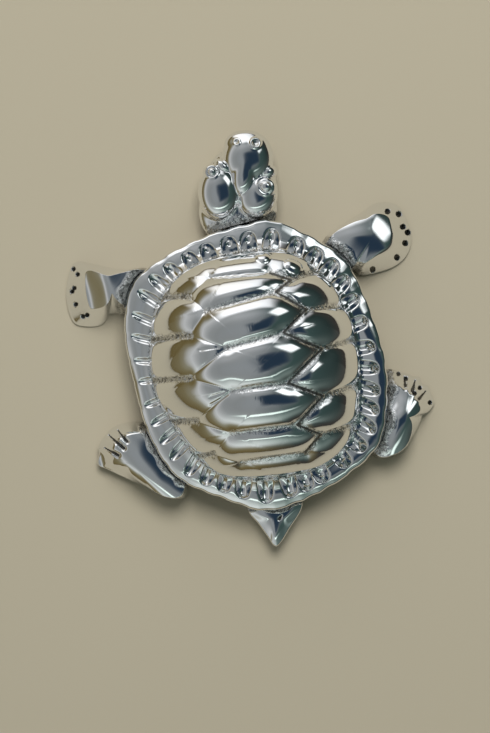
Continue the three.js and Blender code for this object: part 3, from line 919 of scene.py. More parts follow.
@dataclass(frozen=True)
class Bead:
    """Small rounded bead on the dome, in plan."""

    middle: Point
    half: Point
    turn: float
    height: float

    def lift(self, x: Floats, y: Floats) -> Floats:
        """Finds how far the bead stands out.

        Args:
            x: Places along X.
            y: Places along Y.

        Returns:
            Heights in metres.
        """
        ahead, aside = turned(x - self.middle[0], y - self.middle[1], self.turn)
        share = np.hypot(ahead / self.half[0], aside / self.half[1])
        return self.height * np.sqrt(np.clip(1 - share**2, 0, 1))


@dataclass(frozen=True)
class Flutes:
    """Flutes around the rim, gouged out toward the dome: wide at the ends and narrow on the left.

    Their places are directions in degrees, uneven because they were cut by hand.
    """

    places: tuple[float, ...] = (
        2.3, 15.2, 26.9, 36.7, 45.8, 55.0, 64.6, 76.4, 87.0, 96.1, 106.5, 115.4, 125.0, 133.0, 141.1, 150.8,
        160.2, 171.1, 181.2, 193.1, 202.6, 212.0, 220.6, 230.4, 238.9, 247.6, 256.6, 266.9, 277.9, 285.6,
        293.3, 305.3, 314.9, 324.1, 332.4, 341.1, 351.6,
    )
    end_half_width: float = 0.0021
    right_half_width: float = 0.0019
    left_half_width: float = 0.0009
    depth_share: float = 0.80
    falloff: float = 1.15
    middle_share: float = 0.84
    reach_share: float = 0.70

    def half_width(self, angle: float) -> float:
        """Finds half the width of a flute.

        Args:
            angle: Direction of the flute in plan.

        Returns:
            Half the width in metres.
        """
        side = max(0.0, math.cos(angle)) ** 2 * (self.right_half_width - self.end_half_width)
        side += max(0.0, -math.cos(angle)) ** 2 * (self.left_half_width - self.end_half_width)
        return self.end_half_width + side

    def sink(self, angle: Floats, radius: Floats, share: float) -> Floats:
        """Finds how deep the flutes go along one line around the rim.

        Args:
            angle: Directions in plan.
            radius: Distances from the middle of the shell.
            share: Place of the line, from 0 at the lip to 1 at the dome.

        Returns:
            Depths in metres.
        """
        sunk = np.zeros_like(angle)
        along = (share - self.middle_share) / self.reach_share
        for place in self.places:
            turn = math.radians(place)
            half = self.half_width(turn)
            aside = np.angle(np.exp(1j * (angle - turn))) * radius / half
            inside = np.maximum(0, 1 - aside**2 - along**4)
            sunk = np.maximum(sunk, self.depth_share * half * inside**self.falloff)
        return sunk


@dataclass(frozen=True)
class Screw:
    """Hole of a countersunk screw that stands on its head at the underside of the belly plate."""

    radius: float
    head: float
    head_depth: float
    length: float
    clearance: float = 0.00015
    sides: int = 32

    def cut(self, shape: bmesh.types.BMesh, place: Point) -> None:
        """Adds the hole to a tool shape.

        Args:
            shape: Shape that the hole is added to.
            place: Place of the screw in plan.
        """
        shank = self.radius + self.clearance
        head = self.head + self.clearance
        levels = [
            (-self.clearance * 2, head),
            (0.0, head),
            (self.head_depth + self.clearance, shank),
            (self.length + self.clearance, shank),
        ]
        start = bmesh.ops.create_circle(shape, cap_ends=False, segments=self.sides, radius=head)
        ring = start["verts"]
        bmesh.ops.translate(shape, verts=ring, vec=(*place, FELT_TOP + levels[0][0]))
        edges = list({edge for vert in ring for edge in vert.link_edges})
        bmesh.ops.contextual_create(shape, geom=edges)
        middle = Matrix.Translation((-place[0], -place[1], 0.0))
        for (low, before), (high, after) in zip(levels, levels[1:]):
            made = bmesh.ops.extrude_edge_only(shape, edges=edges)["geom"]
            verts = [item for item in made if isinstance(item, bmesh.types.BMVert)]
            edges = [item for item in made if isinstance(item, bmesh.types.BMEdge)]
            edges = [edge for edge in edges if all(vert in set(verts) for vert in edge.verts)]
            bmesh.ops.translate(shape, verts=verts, vec=(0.0, 0.0, high - low))
            bmesh.ops.scale(shape, verts=verts, vec=(after / before, after / before, 1.0), space=middle)
        bmesh.ops.contextual_create(shape, geom=edges)


SHELL_SCREW = Screw(radius=0.0015, head=0.0028, head_depth=0.0016, length=0.012)
SHELL_SCREW_TURNS = (66, 114, 246, 294)
LIMB_SCREW = Screw(radius=0.00125, head=0.0023, head_depth=0.0013, length=0.005)


def shell_screw_places() -> list[Point]:
    """Lists the places of the four screws that hold the belly plate, in the middle of the shell's wall."""
    radii = PLAN.hollow_radius(np.radians(SHELL_SCREW_TURNS), SHELL_WALL / 2)
    return [radial_place(float(radius), around) for radius, around in zip(radii, SHELL_SCREW_TURNS)]


def shell_screw_holes() -> bpy.types.Object:
    """Makes the holes of the four shell screws as one tool solid.

    Returns:
        The tool.
    """
    shape = bmesh.new()
    for place in shell_screw_places():
        SHELL_SCREW.cut(shape, place)
    return tool_object(shape)


@dataclass(frozen=True)
class Tenon:
    """Block that runs in from a limb towards the middle of the shell, held down by one screw."""

    around: float

    def span(self) -> Point:
        """Measures where the block ends.

        Returns:
            Distances from the middle of the shell, at the hollow and inside the limb.
        """
        angle = np.array([math.radians(self.around)])
        outer = PLAN.rim_radius(angle)[0] - RIM_OVERHANG + TENON_ROOT
        return float(PLAN.hollow_radius(angle, SHELL_WALL)[0]), float(outer)

    def block(self, gap: float, top: float) -> bpy.types.Object:
        """Makes the block as a tool solid.

        Args:
            gap: How far it is drawn in on both sides and below.
            top: Level of its top.

        Returns:
            The tool.
        """
        inner, outer = self.span()
        low = FLOOR_TOP - TENON_SEAT + gap
        size = Matrix.Diagonal((outer - inner, TENON_WIDTH - 2 * gap, top - low, 1.0))
        place = Matrix.Translation(((outer + inner) / 2, 0.0, (top + low) / 2))
        turn = Matrix.Rotation(math.radians(self.around), 4, "Z")
        shape = bmesh.new()
        bmesh.ops.create_cube(shape, size=1.0, matrix=turn @ place @ size)
        return tool_object(shape)

    def hole(self) -> bpy.types.Object:
        """Makes the hole of the limb's screw as a tool solid.

        Returns:
            The tool.
        """
        inner, outer = self.span()
        entry = outer - TENON_ROOT - TRAY_WALL
        shape = bmesh.new()
        LIMB_SCREW.cut(shape, radial_place((entry + inner) / 2, self.around))
        return tool_object(shape)


@dataclass(frozen=True)
class Carapace:
    """Upper casting: the fluted rim, the dome with its scutes, and the hollow for the ballast."""

    scutes: Scutes = Scutes()
    flutes: Flutes = Flutes()
    beads: tuple[Bead, ...] = (
        Bead((0.0044, 0.0251), (0.0019, 0.0012), -12, 0.0008),
        Bead((0.0115, 0.0225), (0.0023, 0.0012), -27, 0.0006),
    )
    lip_round: float = 0.0010
    foot_round: float = 0.0005
    ripple: float = 0.16
    ripple_place: float = 0.5

    # The rim's roll down to its lip, less at the front and on the right, more at the corner between them.
    roll_drop: float = 0.0008
    roll_share: float = 0.5
    corner: float = math.radians(34)
    corner_fade: int = 8
    corner_drop: float = 1.5
    corner_spread: float = 1.1
    front_ease: float = 0.6
    right_ease: float = 0.7
    right_tuck: float = 0.5

    # The land between the flutes, which climbs to the dome's foot, later and from lower down on the right.
    land_share: float = 0.25
    land_fall: float = 4.5
    land_middle: float = math.radians(-17)
    climb_start: float = 0.5
    climb_run: float = 0.55
    climb_late: float = 0.25

    # The shallow moat around the dome's foot, left rough, and wider so at the two ends.
    moat_depth: float = 0.0004
    moat_share: float = 0.16
    moat_cast: float = 0.7
    bare_side: float = 0.9
    bare_end: float = 0.4
    bare_edge: float = 1.6

    # The form of the dome: round on the right, and leaning back on the left and at the ends.
    foot_fade: float = 0.0016
    end_lean: float = 0.25
    end_fade: float = 5.0
    left_swell: float = 3.0
    tiny: float = 1e-9

    # How uneven the surface is, and the net that carries it.
    wander: float = 0.00007
    wander_reach: float = 0.008
    grit_height: float = 0.00004
    seed: int = 11
    columns: int = 640
    hollow_stations: int = 8
    round_stations: int = 4
    lip_stations: int = 10
    face_stations: int = 28
    dome_stations: int = 100

    def roll(self, angle: Floats) -> tuple[Floats, Floats]:
        """Finds how far the rim rolls down to its lip.

        Args:
            angle: Directions of the columns.

        Returns:
            Drops in metres, and the shares of the rim's width over which they come.
        """
        front = np.maximum(0, np.sin(angle)) ** 2
        right = np.maximum(0, np.cos(angle)) ** 2
        corner = np.maximum(0, np.cos(angle - self.corner)) ** self.corner_fade
        drop = 1 - self.front_ease * front - self.right_ease * right + self.corner_drop * corner
        share = 1 - self.right_tuck * right + self.corner_spread * corner
        return self.roll_drop * drop, self.roll_share * share

    def hidden_rows(self, angle: Floats, edge: Floats) -> Rows:
        """Lists the rows from the top of the hollow to the lip, where the rim's roll goes on from it.

        Args:
            angle: Directions of the columns.
            edge: Distances of the rim's edge.

        Returns:
            Distances and heights of each row.
        """
        inner = PLAN.hollow_radius(angle, SHELL_WALL)
        rows = []
        for down in np.linspace(0, QUARTER_TURN, self.hollow_stations):
            rows.append((inner * math.sin(down), DOME_FOOT + (DOME_RISE - SHELL_WALL) * math.cos(down)))
        rows += [(inner, SHELL_UNDERSIDE), ((inner + edge) / 2, SHELL_UNDERSIDE)]
        for turn in np.linspace(0, QUARTER_TURN, self.round_stations):
            out = edge - self.foot_round * (1 - math.sin(turn))
            rows.append((out, SHELL_UNDERSIDE + self.foot_round * (1 - math.cos(turn))))
        drop, width = self.roll(angle)
        slope = 2 * drop / (width * (edge - PLAN.foot_radius(angle)))
        steep = np.arctan2(1.0, slope)
        for share in np.linspace(0, 1, self.lip_stations):
            out = edge - self.lip_round * (1 - np.cos(steep * share))
            fall = self.lip_round * (np.sin(steep) - np.sin(steep * share))
            rows.append((out, RIM_EDGE - (drop + fall)))
        return rows

    def face_rows(self, angle: Floats, start: Floats) -> tuple[Rows, list[Floats]]:
        """Lists the rows of the rim's face, from the lip to the dome's foot.

        Args:
            angle: Directions of the columns.
            start: Distances at which the lip ends.

        Returns:
            Distances and heights of each row, and how rough the metal was left there.
        """
        foot = PLAN.foot_radius(angle)
        rise = PLAN.foot_level(angle) - RIM_EDGE
        right = np.maximum(0, np.cos(angle - self.land_middle)) ** 2
        land = self.land_share * (1 - self.land_fall * right)
        late = self.climb_late * right
        drop, width = self.roll(angle)
        bare = 1 - (self.bare_side + self.bare_end * np.abs(np.sin(angle)) ** 4) * self.moat_share
        rows = []
        cast = []
        for share in np.linspace(0, 1, self.face_stations + 1)[1:]:
            radius = start + (foot - start) * share
            sunk = self.flutes.sink(angle, radius, share)
            moat = self.moat_depth * eased(1 - self.moat_share, 1.0, share)
            bank = eased(0.0, 1.0, (share - self.climb_start - late) / (self.climb_run - late))
            climb = land * share + (1 - land) * bank
            roll = drop * np.maximum(0, 1 - share / width) ** 2
            rows.append((radius, RIM_EDGE + rise * climb - roll - sunk - moat))
            cast.append(self.moat_cast * eased(0.0, 1.0, (share - bare) / (1 - bare) * self.bare_edge))
        return rows, cast

    def dome_row(self, angle: Floats, down: float) -> tuple[Floats, Floats, Floats]:
        """Lays one row of the dome.

        Args:
            angle: Directions of the columns.
            down: Angle of the row down from the top.

        Returns:
            Distances, heights, and how rough the metal was left.
        """
        foot = PLAN.foot_radius(angle)
        level = PLAN.foot_level(angle)
        span = DOME_TOP - level
        reach, upright = math.sin(down), math.cos(down)
        end = np.abs(np.sin(angle)) ** self.end_fade
        left = (1 - end) * np.maximum(0, -np.cos(angle)) ** 2
        side = 1 - end - left
        end_rise = 1 - self.end_lean * reach**2 - (1 - self.end_lean) * reach**4
        end_fall = (2 * self.end_lean * reach + 4 * (1 - self.end_lean) * reach**3) * upright
        left_fall = self.left_swell * reach ** (self.left_swell - 1) * upright
        above = span * (side * upright + left * (1 - reach**self.left_swell) + end * end_rise)
        face_out = span * (side * reach + left * left_fall + end * end_fall) + self.tiny
        face_up = foot * upright
        size = np.hypot(face_out, face_up)
        x, y = foot * reach * np.cos(angle), foot * reach * np.sin(angle)
        stand, groove = self.scutes.stand(x, y)
        for bead in self.beads:
            stand = stand + bead.lift(x, y)
        rise = stand * (1 - np.exp(-above / self.foot_fade))
        return foot * reach + face_out / size * rise, level + above + face_up / size * rise, groove

    def net(self) -> tuple[Floats, Floats]:
        """Lays the casting's net of rows and columns.

        Returns:
            The places, and how rough the metal was left at each.
        """
        angle = all_around(self.columns)
        edge = PLAN.rim_radius(angle)
        edge = edge - self.ripple * self.flutes.sink(angle, edge, self.ripple_place)
        rows = self.hidden_rows(angle, edge)
        raw = self.hollow_stations + 2
        cast = [np.full_like(angle, HOLLOW_CAST if row < raw else 0.0) for row in range(len(rows))]
        face, face_cast = self.face_rows(angle, rows[-1][0])
        rows += face
        cast += face_cast
        for down in np.linspace(QUARTER_TURN, 0, self.dome_stations):
            radius, height, rough = self.dome_row(angle, down)
            rows.append((radius, height))
            cast.append(rough)
        return ring_points(angle, rows), np.stack(cast)

    def build(self, finish: bpy.types.Material) -> None:
        """Builds and dresses the casting.

        Args:
            finish: Material of the castings.
        """
        points, cast = self.net()
        draw = np.random.default_rng(self.seed)
        grit = draw.standard_normal(cast.shape) * cast * self.grit_height
        shown = len(cast) - self.face_stations - self.dome_stations
        points[shown:, :, 2] += grit[shown:]
        points[shown:, :, 2] += unevenness(points[shown:], self.wander_reach) * self.wander
        points[-1, :, 2] = points[-1, :, 2].mean()
        piece = net_object("carapace_casting", points, cast)
        worked(piece, shell_screw_holes(), Cut.REMOVE)
        dressed(piece, "carapace", finish)


@dataclass(frozen=True)
class Mark:
    """Small worked mark on a limb, in the model's plan.

    The numbers of the eye and the nostril are shares of the mark's radius and depth.
    """

    work: Work
    place: Point
    radius: float
    depth: float
    # Pits are left fully rough, which also paints dark shade into them.
    pit_cast: float = 3.0
    iris: float = 0.62
    iris_rise: float = 0.9
    lid: Point = (1.0, 0.2)
    lid_rise: float = 0.8
    lid_ring: Point = (0.7, 0.12)
    lid_ring_depth: float = 0.5
    lid_ring_cast: float = 0.3
    nostril_ring: Point = (0.75, 0.25)
    nostril_pit: Point = (0.0, 0.35)
    nostril_cast: float = 0.4

    def lift(self, x: Floats, y: Floats) -> tuple[Floats, Floats]:
        """Finds how the mark moves the metal.

        Args:
            x: Places along X.
            y: Places along Y.

        Returns:
            Moves along Z, and how rough the metal was left.
        """
        away = np.hypot(x - self.place[0], y - self.place[1]) / self.radius
        if self.work is Work.PIT:
            ball = np.sqrt(np.clip(1 - away**2, 0, 1))
            return -self.depth * ball, np.clip(self.pit_cast * ball, 0, 1)
        if self.work is Work.EYE:
            iris = np.sqrt(np.clip(1 - (away / self.iris) ** 2, 0, 1))
            ring = bell(away, *self.lid_ring)
            eye = self.iris_rise * iris + self.lid_rise * bell(away, *self.lid) - self.lid_ring_depth * ring
            return self.depth * eye, self.lid_ring_cast * ring
        pit = bell(away, *self.nostril_pit)
        return self.depth * (bell(away, *self.nostril_ring) - pit), self.nostril_cast * pit


def pits(places: tuple[Point, ...], radius: float, depth: float) -> tuple[Mark, ...]:
    """Gives a row of equal pits."""
    return tuple(Mark(Work.PIT, place, radius, depth) for place in places)


@dataclass(frozen=True)
class Crease:
    """Chased line on a limb, between two points in the model's plan, which runs out thin."""

    start: Point
    end: Point
    half_width: float
    depth: float
    thick: float = 1.2
    taper: float = 0.9
    thin: float = 0.3
    # Crease lines are left fully rough, which also paints dark shade along them.
    cast: float = 1.5

    def line(self, x: Floats, y: Floats) -> Floats:
        """Finds where the line runs.

        Args:
            x: Places along X.
            y: Places along Y.

        Returns:
            Shares from 1 on the line to 0 beside it.
        """
        gone = np.hypot(x - self.start[0], y - self.start[1]) / math.dist(self.start, self.end)
        width = self.half_width * np.clip(self.thick - self.taper * gone, self.thin, 1)
        return np.exp(-((segment_distance(x, y, self.start, self.end) / width) ** 2))


@dataclass(frozen=True)
class Skirt:
    """Rounded fall from a limb's back to its edge, widest toward one direction in degrees."""

    width: float
    swing: float = 0.0
    toward: float = 0.0
    power: float = 2.0

    def share(self, angle: Floats, inside: Floats) -> Floats:
        """Gives shares of the full height, from 0 at the edge to 1 on the back."""
        width = self.width + self.swing * np.cos(angle - math.radians(self.toward))
        return 1 - np.clip(1 - inside / width, 0, 1) ** self.power


@dataclass(frozen=True)
class Bend:
    """Part of a limb's back that slopes down toward one direction in degrees, between a start and a stop."""

    toward: float
    start: float
    slope: float
    reach: float = 0.0022
    stop: float = 0.04

    def drop(self, x: Floats, y: Floats) -> Floats:
        """Finds how far the back has come down.

        Args:
            x: Places along X, from the core.
            y: Places along Y, from the core.

        Returns:
            Drops in metres.
        """
        past, _ = turned(x, y, self.toward)
        begun = np.logaddexp(0, (past - self.start) / self.reach)
        ended = np.logaddexp(0, (past - self.stop) / self.reach)
        return self.slope * self.reach * (begun - ended)


@dataclass(frozen=True, kw_only=True)
class Casting(ABC):
    """Head, leg or tail, which comes out from under the shell's rim and is held by its tenon.

    The core is a place from which all of the casting's skin is seen.
    """

    name: str
    around: float
    core: Point
    columns: int
    stations: int
    marks: tuple[Mark, ...] = ()
    creases: tuple[Crease, ...] = ()
    band: float = 0.0018
    band_ends: Point = (0.5, 1.5)
    band_waver: float = 0.0008
    band_waver_reach: float = 0.0022
    # The band under the rim is left rough enough that it also takes some painted shade.
    seam_cast: float = 0.85
    seam_height: float = 0.00006
    seed: int = 23

    @abstractmethod
    def net(self) -> tuple[Floats, Floats]:
        """Lays the casting's net: its places, and how rough the metal was left at each."""

    def worked_marks(self, x: Floats, y: Floats) -> tuple[Floats, Floats]:
        """Finds how the marks and creases move the metal.

        Args:
            x: Places along X.
            y: Places along Y.

        Returns:
            Moves out of the metal, and how rough it was left.
        """
        lift = np.zeros_like(x)
        rough = np.zeros_like(x)
        for mark in self.marks:
            moved, left = mark.lift(x, y)
            lift = lift + moved
            rough = np.maximum(rough, left)
        for crease in self.creases:
            line = crease.line(x, y)
            lift = lift - crease.depth * line
            rough = np.maximum(rough, np.clip(crease.cast * line, 0, 1) ** 2)
        return lift, rough

    def seam(self, places: Floats) -> tuple[Floats, Floats, Floats]:
        """Finds the rough band that was left beside the rim.

        Args:
            places: Places on the casting.

        Returns:
            Distances outside the rim, shares from 1 in the band to 0 beyond it, and the grit in metres.
        """
        out = beyond_rim(places[..., 0], places[..., 1], -SEAM_GAP)
        waver = self.band_waver * unevenness(places, self.band_waver_reach)
        near, far = (self.band * end for end in self.band_ends)
        share = 1 - eased(near, far, out + waver)
        draw = np.random.default_rng(self.seed)
        return out, share, self.seam_height * share * draw.standard_normal(share.shape)

    def build(self, finish: bpy.types.Material) -> None:
        """Builds and dresses the casting, with the tenon that the belly plate holds.

        Args:
            finish: Material of the castings.
        """
        points, rough = self.net()
        piece = net_object(f"{self.name}_casting", points, rough)
        tenon = Tenon(self.around)
        worked(piece, tenon.block(SEAM_GAP, SHELL_UNDERSIDE - SEAM_GAP), Cut.JOIN)
        worked(piece, tenon.hole(), Cut.REMOVE)
        dressed(piece, self.name, finish)


@dataclass(frozen=True, kw_only=True)
class Limb(Casting):
    """Leg or tail: a casting inside an outline in plan, which swells from its edge to its back.

    The outline starts and ends under the shell's rim.
    """

    outline: tuple[Point, ...]
    height: float
    edge: float
    skirt: Skirt
    crown: float
    bends: tuple[Bend, ...] = ()
    edge_round: float = 0.0004
    least_height: float = 0.0002
    wander: float = 0.00012
    wander_reach: float = 0.005
    columns: int = 360
    stations: int = 110
    lip_stations: int = 6
    trim_steps: int = 240

    def trimmed(self, angle: Floats, reach: Floats) -> Floats:
        """Shortens the reach where the belly plate is in the way.

        Args:
            angle: Directions from the core.
            reach: How far the outline lies from the core.

        Returns:
            The shortened distances.
        """
        share = np.linspace(0, 1, self.trim_steps)[:, None]
        x = self.core[0] + np.cos(angle) * reach * share
        y = self.core[1] + np.sin(angle) * reach * share
        blocked = beyond_rim(x, y, RIM_OVERHANG - SEAM_GAP) < 0
        first = np.where(blocked.any(axis=0), np.argmax(blocked, axis=0), len(share))
        return reach * np.minimum(1.0, (first - 1) / (len(share) - 1))

    def top(self, x: Floats, y: Floats, share: Floats, inside: Floats) -> tuple[Floats, Floats]:
        """Finds the level of the limb's back, trimmed to the underside of the rim.

        Args:
            x: Places along X.
            y: Places along Y.
            share: Shares of the reach, from 0 at the core to 1 at the outline.
            inside: Distances from the outline.

        Returns:
            Levels, and how rough the metal was left.
        """
        ahead, aside = x - self.core[0], y - self.core[1]
        back = self.height - self.crown * share**2 - sum(bend.drop(ahead, aside) for bend in self.bends)
        skirt = self.skirt.share(np.arctan2(aside, ahead), inside)
        lift, rough = self.worked_marks(x, y)
        level = self.edge + np.maximum(back - self.edge, 0) * skirt + lift
        places = np.stack([x, y, level], axis=-1)
        out, seam, grit = self.seam(places)
        level = level + self.wander * unevenness(places, self.wander_reach) + grit
        level = np.where(out < 0, np.minimum(level, SHELL_UNDERSIDE - SEAM_GAP), level)
        return np.maximum(level, SOLE_LEVEL + self.least_height), np.maximum(rough, self.seam_cast * seam)

    def net(self) -> tuple[Floats, Floats]:
        """Lays the casting's net of rows and columns, from under its sole to its back.

        Returns:
            The places, and how rough the metal was left at each.
        """
        angle = all_around(self.columns)
        full = loop_radius(smooth_loop(np.array(self.outline)) - np.array(self.core), angle)
        cut = self.trimmed(angle, full)
        turns = np.linspace(0, QUARTER_TURN, self.lip_stations)[:, None]
        lip = cut - self.edge_round * (1 - np.cos(turns))
        back = (cut - self.edge_round) * np.linspace(1, 0, self.stations)[1:, None]
        far = np.concatenate([lip, back])
        x = self.core[0] + np.cos(angle) * far
        y = self.core[1] + np.sin(angle) * far
        level, rough = self.top(x, y, far / full, full - far)
        level[-1] = level[-1].mean()
        rough[-1] = rough[-1].mean()
        drop = np.minimum(self.edge_round, (level[0] - SOLE_LEVEL) / 2)
        level[: len(lip)] -= drop * (1 - np.sin(turns))
        sole = np.stack([cut * 0, cut / 2, cut - drop / 2, cut])
        under = np.stack([cut * 0 + SOLE_LEVEL] * 3 + [SOLE_LEVEL + drop / 2])
        x = np.concatenate([self.core[0] + np.cos(angle) * sole, x])
        y = np.concatenate([self.core[1] + np.sin(angle) * sole, y])
        points = np.stack([x, y, np.concatenate([under, level])], axis=-1)
        return points, np.concatenate([np.full_like(sole, CUT_CAST), rough])


@dataclass(frozen=True)
class Lobe:
    """Egg-shaped lobe of the head: its middle, its half sizes ahead, aside and up, and its turn in plan."""

    middle: Place
    half: Place
    turn: float
    fullness: float = 2.4

    def depth(self, points: Floats) -> Floats:
        """Finds how deep places lie inside the lobe.

        Args:
            points: Places in the model's frame.

        Returns:
            Shares from 1 in the middle to 0 on the skin, and below 0 outside.
        """
        x, y, z = np.moveaxis(points - np.array(self.middle), -1, 0)
        ahead, aside = turned(x, y, self.turn)
        flat = np.hypot(ahead / self.half[0], aside / self.half[1])
        return 1 - (flat**self.fullness + np.abs(z / self.half[2]) ** self.fullness) ** (1 / self.fullness)


@dataclass(frozen=True, kw_only=True)
class Head(Casting):
    """Head: a cluster of lobes that are grown together."""

    lobes: tuple[Lobe, ...]
    core_level: float = 0.0065
    blend: float = 26.0
    step: float = 0.0002
    far: float = 0.02
    halvings: int = 8
    shown_slope: float = 0.25
    tiny: float = 1e-12
    columns: int = 480
    stations: int = 200

    def inside(self, points: Floats) -> NDArray[np.bool_]:
        """Tells which places lie inside the lobes and clear of the rim and the belly plate.

        Args:
            points: Places in the model's frame.

        Returns:
            True where a place lies inside.
        """
        depth = np.logaddexp.reduce([lobe.depth(points) * self.blend for lobe in self.lobes], axis=0)
        x, y, z = np.moveaxis(points, -1, 0)
        under = (z < SHELL_UNDERSIDE - SEAM_GAP) | (beyond_rim(x, y, -SEAM_GAP) > 0)
        return (depth > 0) & under & (beyond_rim(x, y, RIM_OVERHANG - SEAM_GAP) > 0)

    def skin(self, rays: Floats) -> Floats:
        """Follows rays out of the core to the skin.

        Args:
            rays: Directions, of length 1.

        Returns:
            Places on the skin.
        """
        core = np.array((*self.core, self.core_level))
        inner = np.zeros(len(rays))
        going = np.arange(len(rays))
        for far in np.arange(self.step, self.far, self.step):
            going = going[self.inside(core + rays[going] * far)]
            inner[going] = far
        outer = inner + self.step
        for _ in range(self.halvings):
            half = (inner + outer) / 2
            within = self.inside(core + rays * half[:, None])
            inner = np.where(within, half, inner)
            outer = np.where(within, outer, half)
        return core + rays * inner[:, None]

    def net(self) -> tuple[Floats, Floats]:
        """Lays the casting's net of rows and columns, from under the chin to the top.

        Returns:
            The places, and how rough the metal was left at each.
        """
        around = all_around(self.columns)
        up = np.linspace(-QUARTER_TURN, QUARTER_TURN, self.stations)[:, None]
        level = np.sin(up) + 0 * around
        rays = np.stack([np.cos(up) * np.cos(around), np.cos(up) * np.sin(around), level], axis=-1)
        rays[0] = (0.0, 0.0, -1.0)
        rays[-1] = (0.0, 0.0, 1.0)
        points = self.skin(rays.reshape(-1, 3)).reshape(rays.shape)
        along = np.roll(points, -1, axis=1) - np.roll(points, 1, axis=1)
        normals = np.cross(along, np.gradient(points, axis=0))
        normals /= np.maximum(np.linalg.norm(normals, axis=-1, keepdims=True), self.tiny)
        lift, rough = self.worked_marks(points[..., 0], points[..., 1])
        shown = eased(0.0, self.shown_slope, normals[..., 2])
        out, seam, grit = self.seam(points)
        lift = lift * shown + grit * (out > SEAM_GAP)
        lift[[0, -1]] = 0.0
        return points + normals * lift[..., None], np.maximum(rough * shown, self.seam_cast * seam)


HEAD = Head(
    name="head",
    around=90,
    core=(0.0014, 0.0458),
    lobes=(
        Lobe((0.0014, 0.0455, 0.0042), (0.0098, 0.0090, 0.0034), 82),
        Lobe((0.0042, 0.0546, 0.0074), (0.0040, 0.0057, 0.0032), 75),
        Lobe((0.0039, 0.0514, 0.0066), (0.0070, 0.0066, 0.0051), 75),
        Lobe((0.0025, 0.0474, 0.0072), (0.0060, 0.0034, 0.0046), 75),
        Lobe((-0.0041, 0.0439, 0.0074), (0.0070, 0.0053, 0.0041), 84),
        Lobe((0.0052, 0.0418, 0.0074), (0.0056, 0.0050, 0.0038), 60),
        Lobe((-0.0053, 0.0491, 0.0084), (0.0023, 0.0022, 0.0027), 0, 2.0),
        Lobe((-0.0024, 0.0502, 0.0084), (0.0026, 0.0016, 0.0023), -48, 2.0),
        Lobe((0.0076, 0.0439, 0.0086), (0.0030, 0.0026, 0.0030), -35, 2.0),
        Lobe((0.0085, 0.0474, 0.0078), (0.0024, 0.0020, 0.0026), 15, 2.0),
        Lobe((0.0, 0.0390, 0.0050), (0.0095, 0.0098, 0.0034), 90, 2.0),
    ),
    marks=(
        Mark(Work.EYE, (-0.0053, 0.0491), 0.0015, 0.0003),
        Mark(Work.EYE, (0.0076, 0.0438), 0.0020, 0.0002),
        Mark(Work.NOSTRIL, (0.0063, 0.0549), 0.0015, 0.0004),
        Mark(Work.NOSTRIL, (0.0018, 0.0558), 0.0010, 0.0002),
    ),
    band=0.0016,
)

FRONT_LEFT_LEG = Limb(
    name="front_left_leg",
    around=143,
    outline=(
        (-0.0249, 0.0277), (-0.0301, 0.0280), (-0.0343, 0.0291), (-0.0384, 0.0306), (-0.0412, 0.0314),
        (-0.0429, 0.0310), (-0.0443, 0.0286), (-0.0454, 0.0251), (-0.0457, 0.0223), (-0.0454, 0.0189),
        (-0.0443, 0.0160), (-0.0421, 0.0150), (-0.0384, 0.0147), (-0.0367, 0.0155), (-0.0355, 0.0170),
        (-0.0336, 0.0172), (-0.0318, 0.0165), (-0.0245, 0.0150), (-0.0225, 0.0255),
    ),
    core=(-0.0335, 0.0232),
    height=0.0100,
    edge=0.0006,
    skirt=Skirt(0.0034, 0.0023, 210, 1.0),
    crown=0.0003,
    bends=(Bend(185, 0.0014, 0.74, 0.0004, 0.0064),),
    marks=pits(
        places=(
            (-0.0419, 0.0281), (-0.0429, 0.0296), (-0.0432, 0.0248), (-0.0439, 0.0240), (-0.0433, 0.0207),
            (-0.0419, 0.0175), (-0.0408, 0.0177),
        ),
        radius=0.0006,
        depth=0.0009,
    ),
)

FRONT_RIGHT_LEG = Limb(
    name="front_right_leg",
    around=46,
    outline=(
        (0.0185, 0.0255), (0.0200, 0.0286), (0.0220, 0.0306), (0.0272, 0.0334), (0.0314, 0.0353),
        (0.0337, 0.0366), (0.0358, 0.0370), (0.0384, 0.0366), (0.0403, 0.0355), (0.0414, 0.0336),
        (0.0423, 0.0309), (0.0427, 0.0286), (0.0424, 0.0261), (0.0416, 0.0239), (0.0399, 0.0219),
        (0.0373, 0.0204), (0.0343, 0.0196), (0.0311, 0.0192), (0.0285, 0.0192), (0.0267, 0.0204),
        (0.0240, 0.0186), (0.0215, 0.0205),
    ),
    core=(0.0325, 0.0282),
    height=0.0098,
    edge=0.0010,
    skirt=Skirt(0.0034, 0.0022, -20, 1.5),
    crown=0.0018,
    bends=(Bend(32, 0.0010, 0.40, 0.0030),),
    marks=pits(
        places=(
            (0.0372, 0.0342), (0.0400, 0.0333), (0.0406, 0.0300), (0.0417, 0.0285), (0.0407, 0.0259),
            (0.0382, 0.0226), (0.0318, 0.0203),
        ),
        radius=0.0008,
        depth=0.0012,
    ),
)

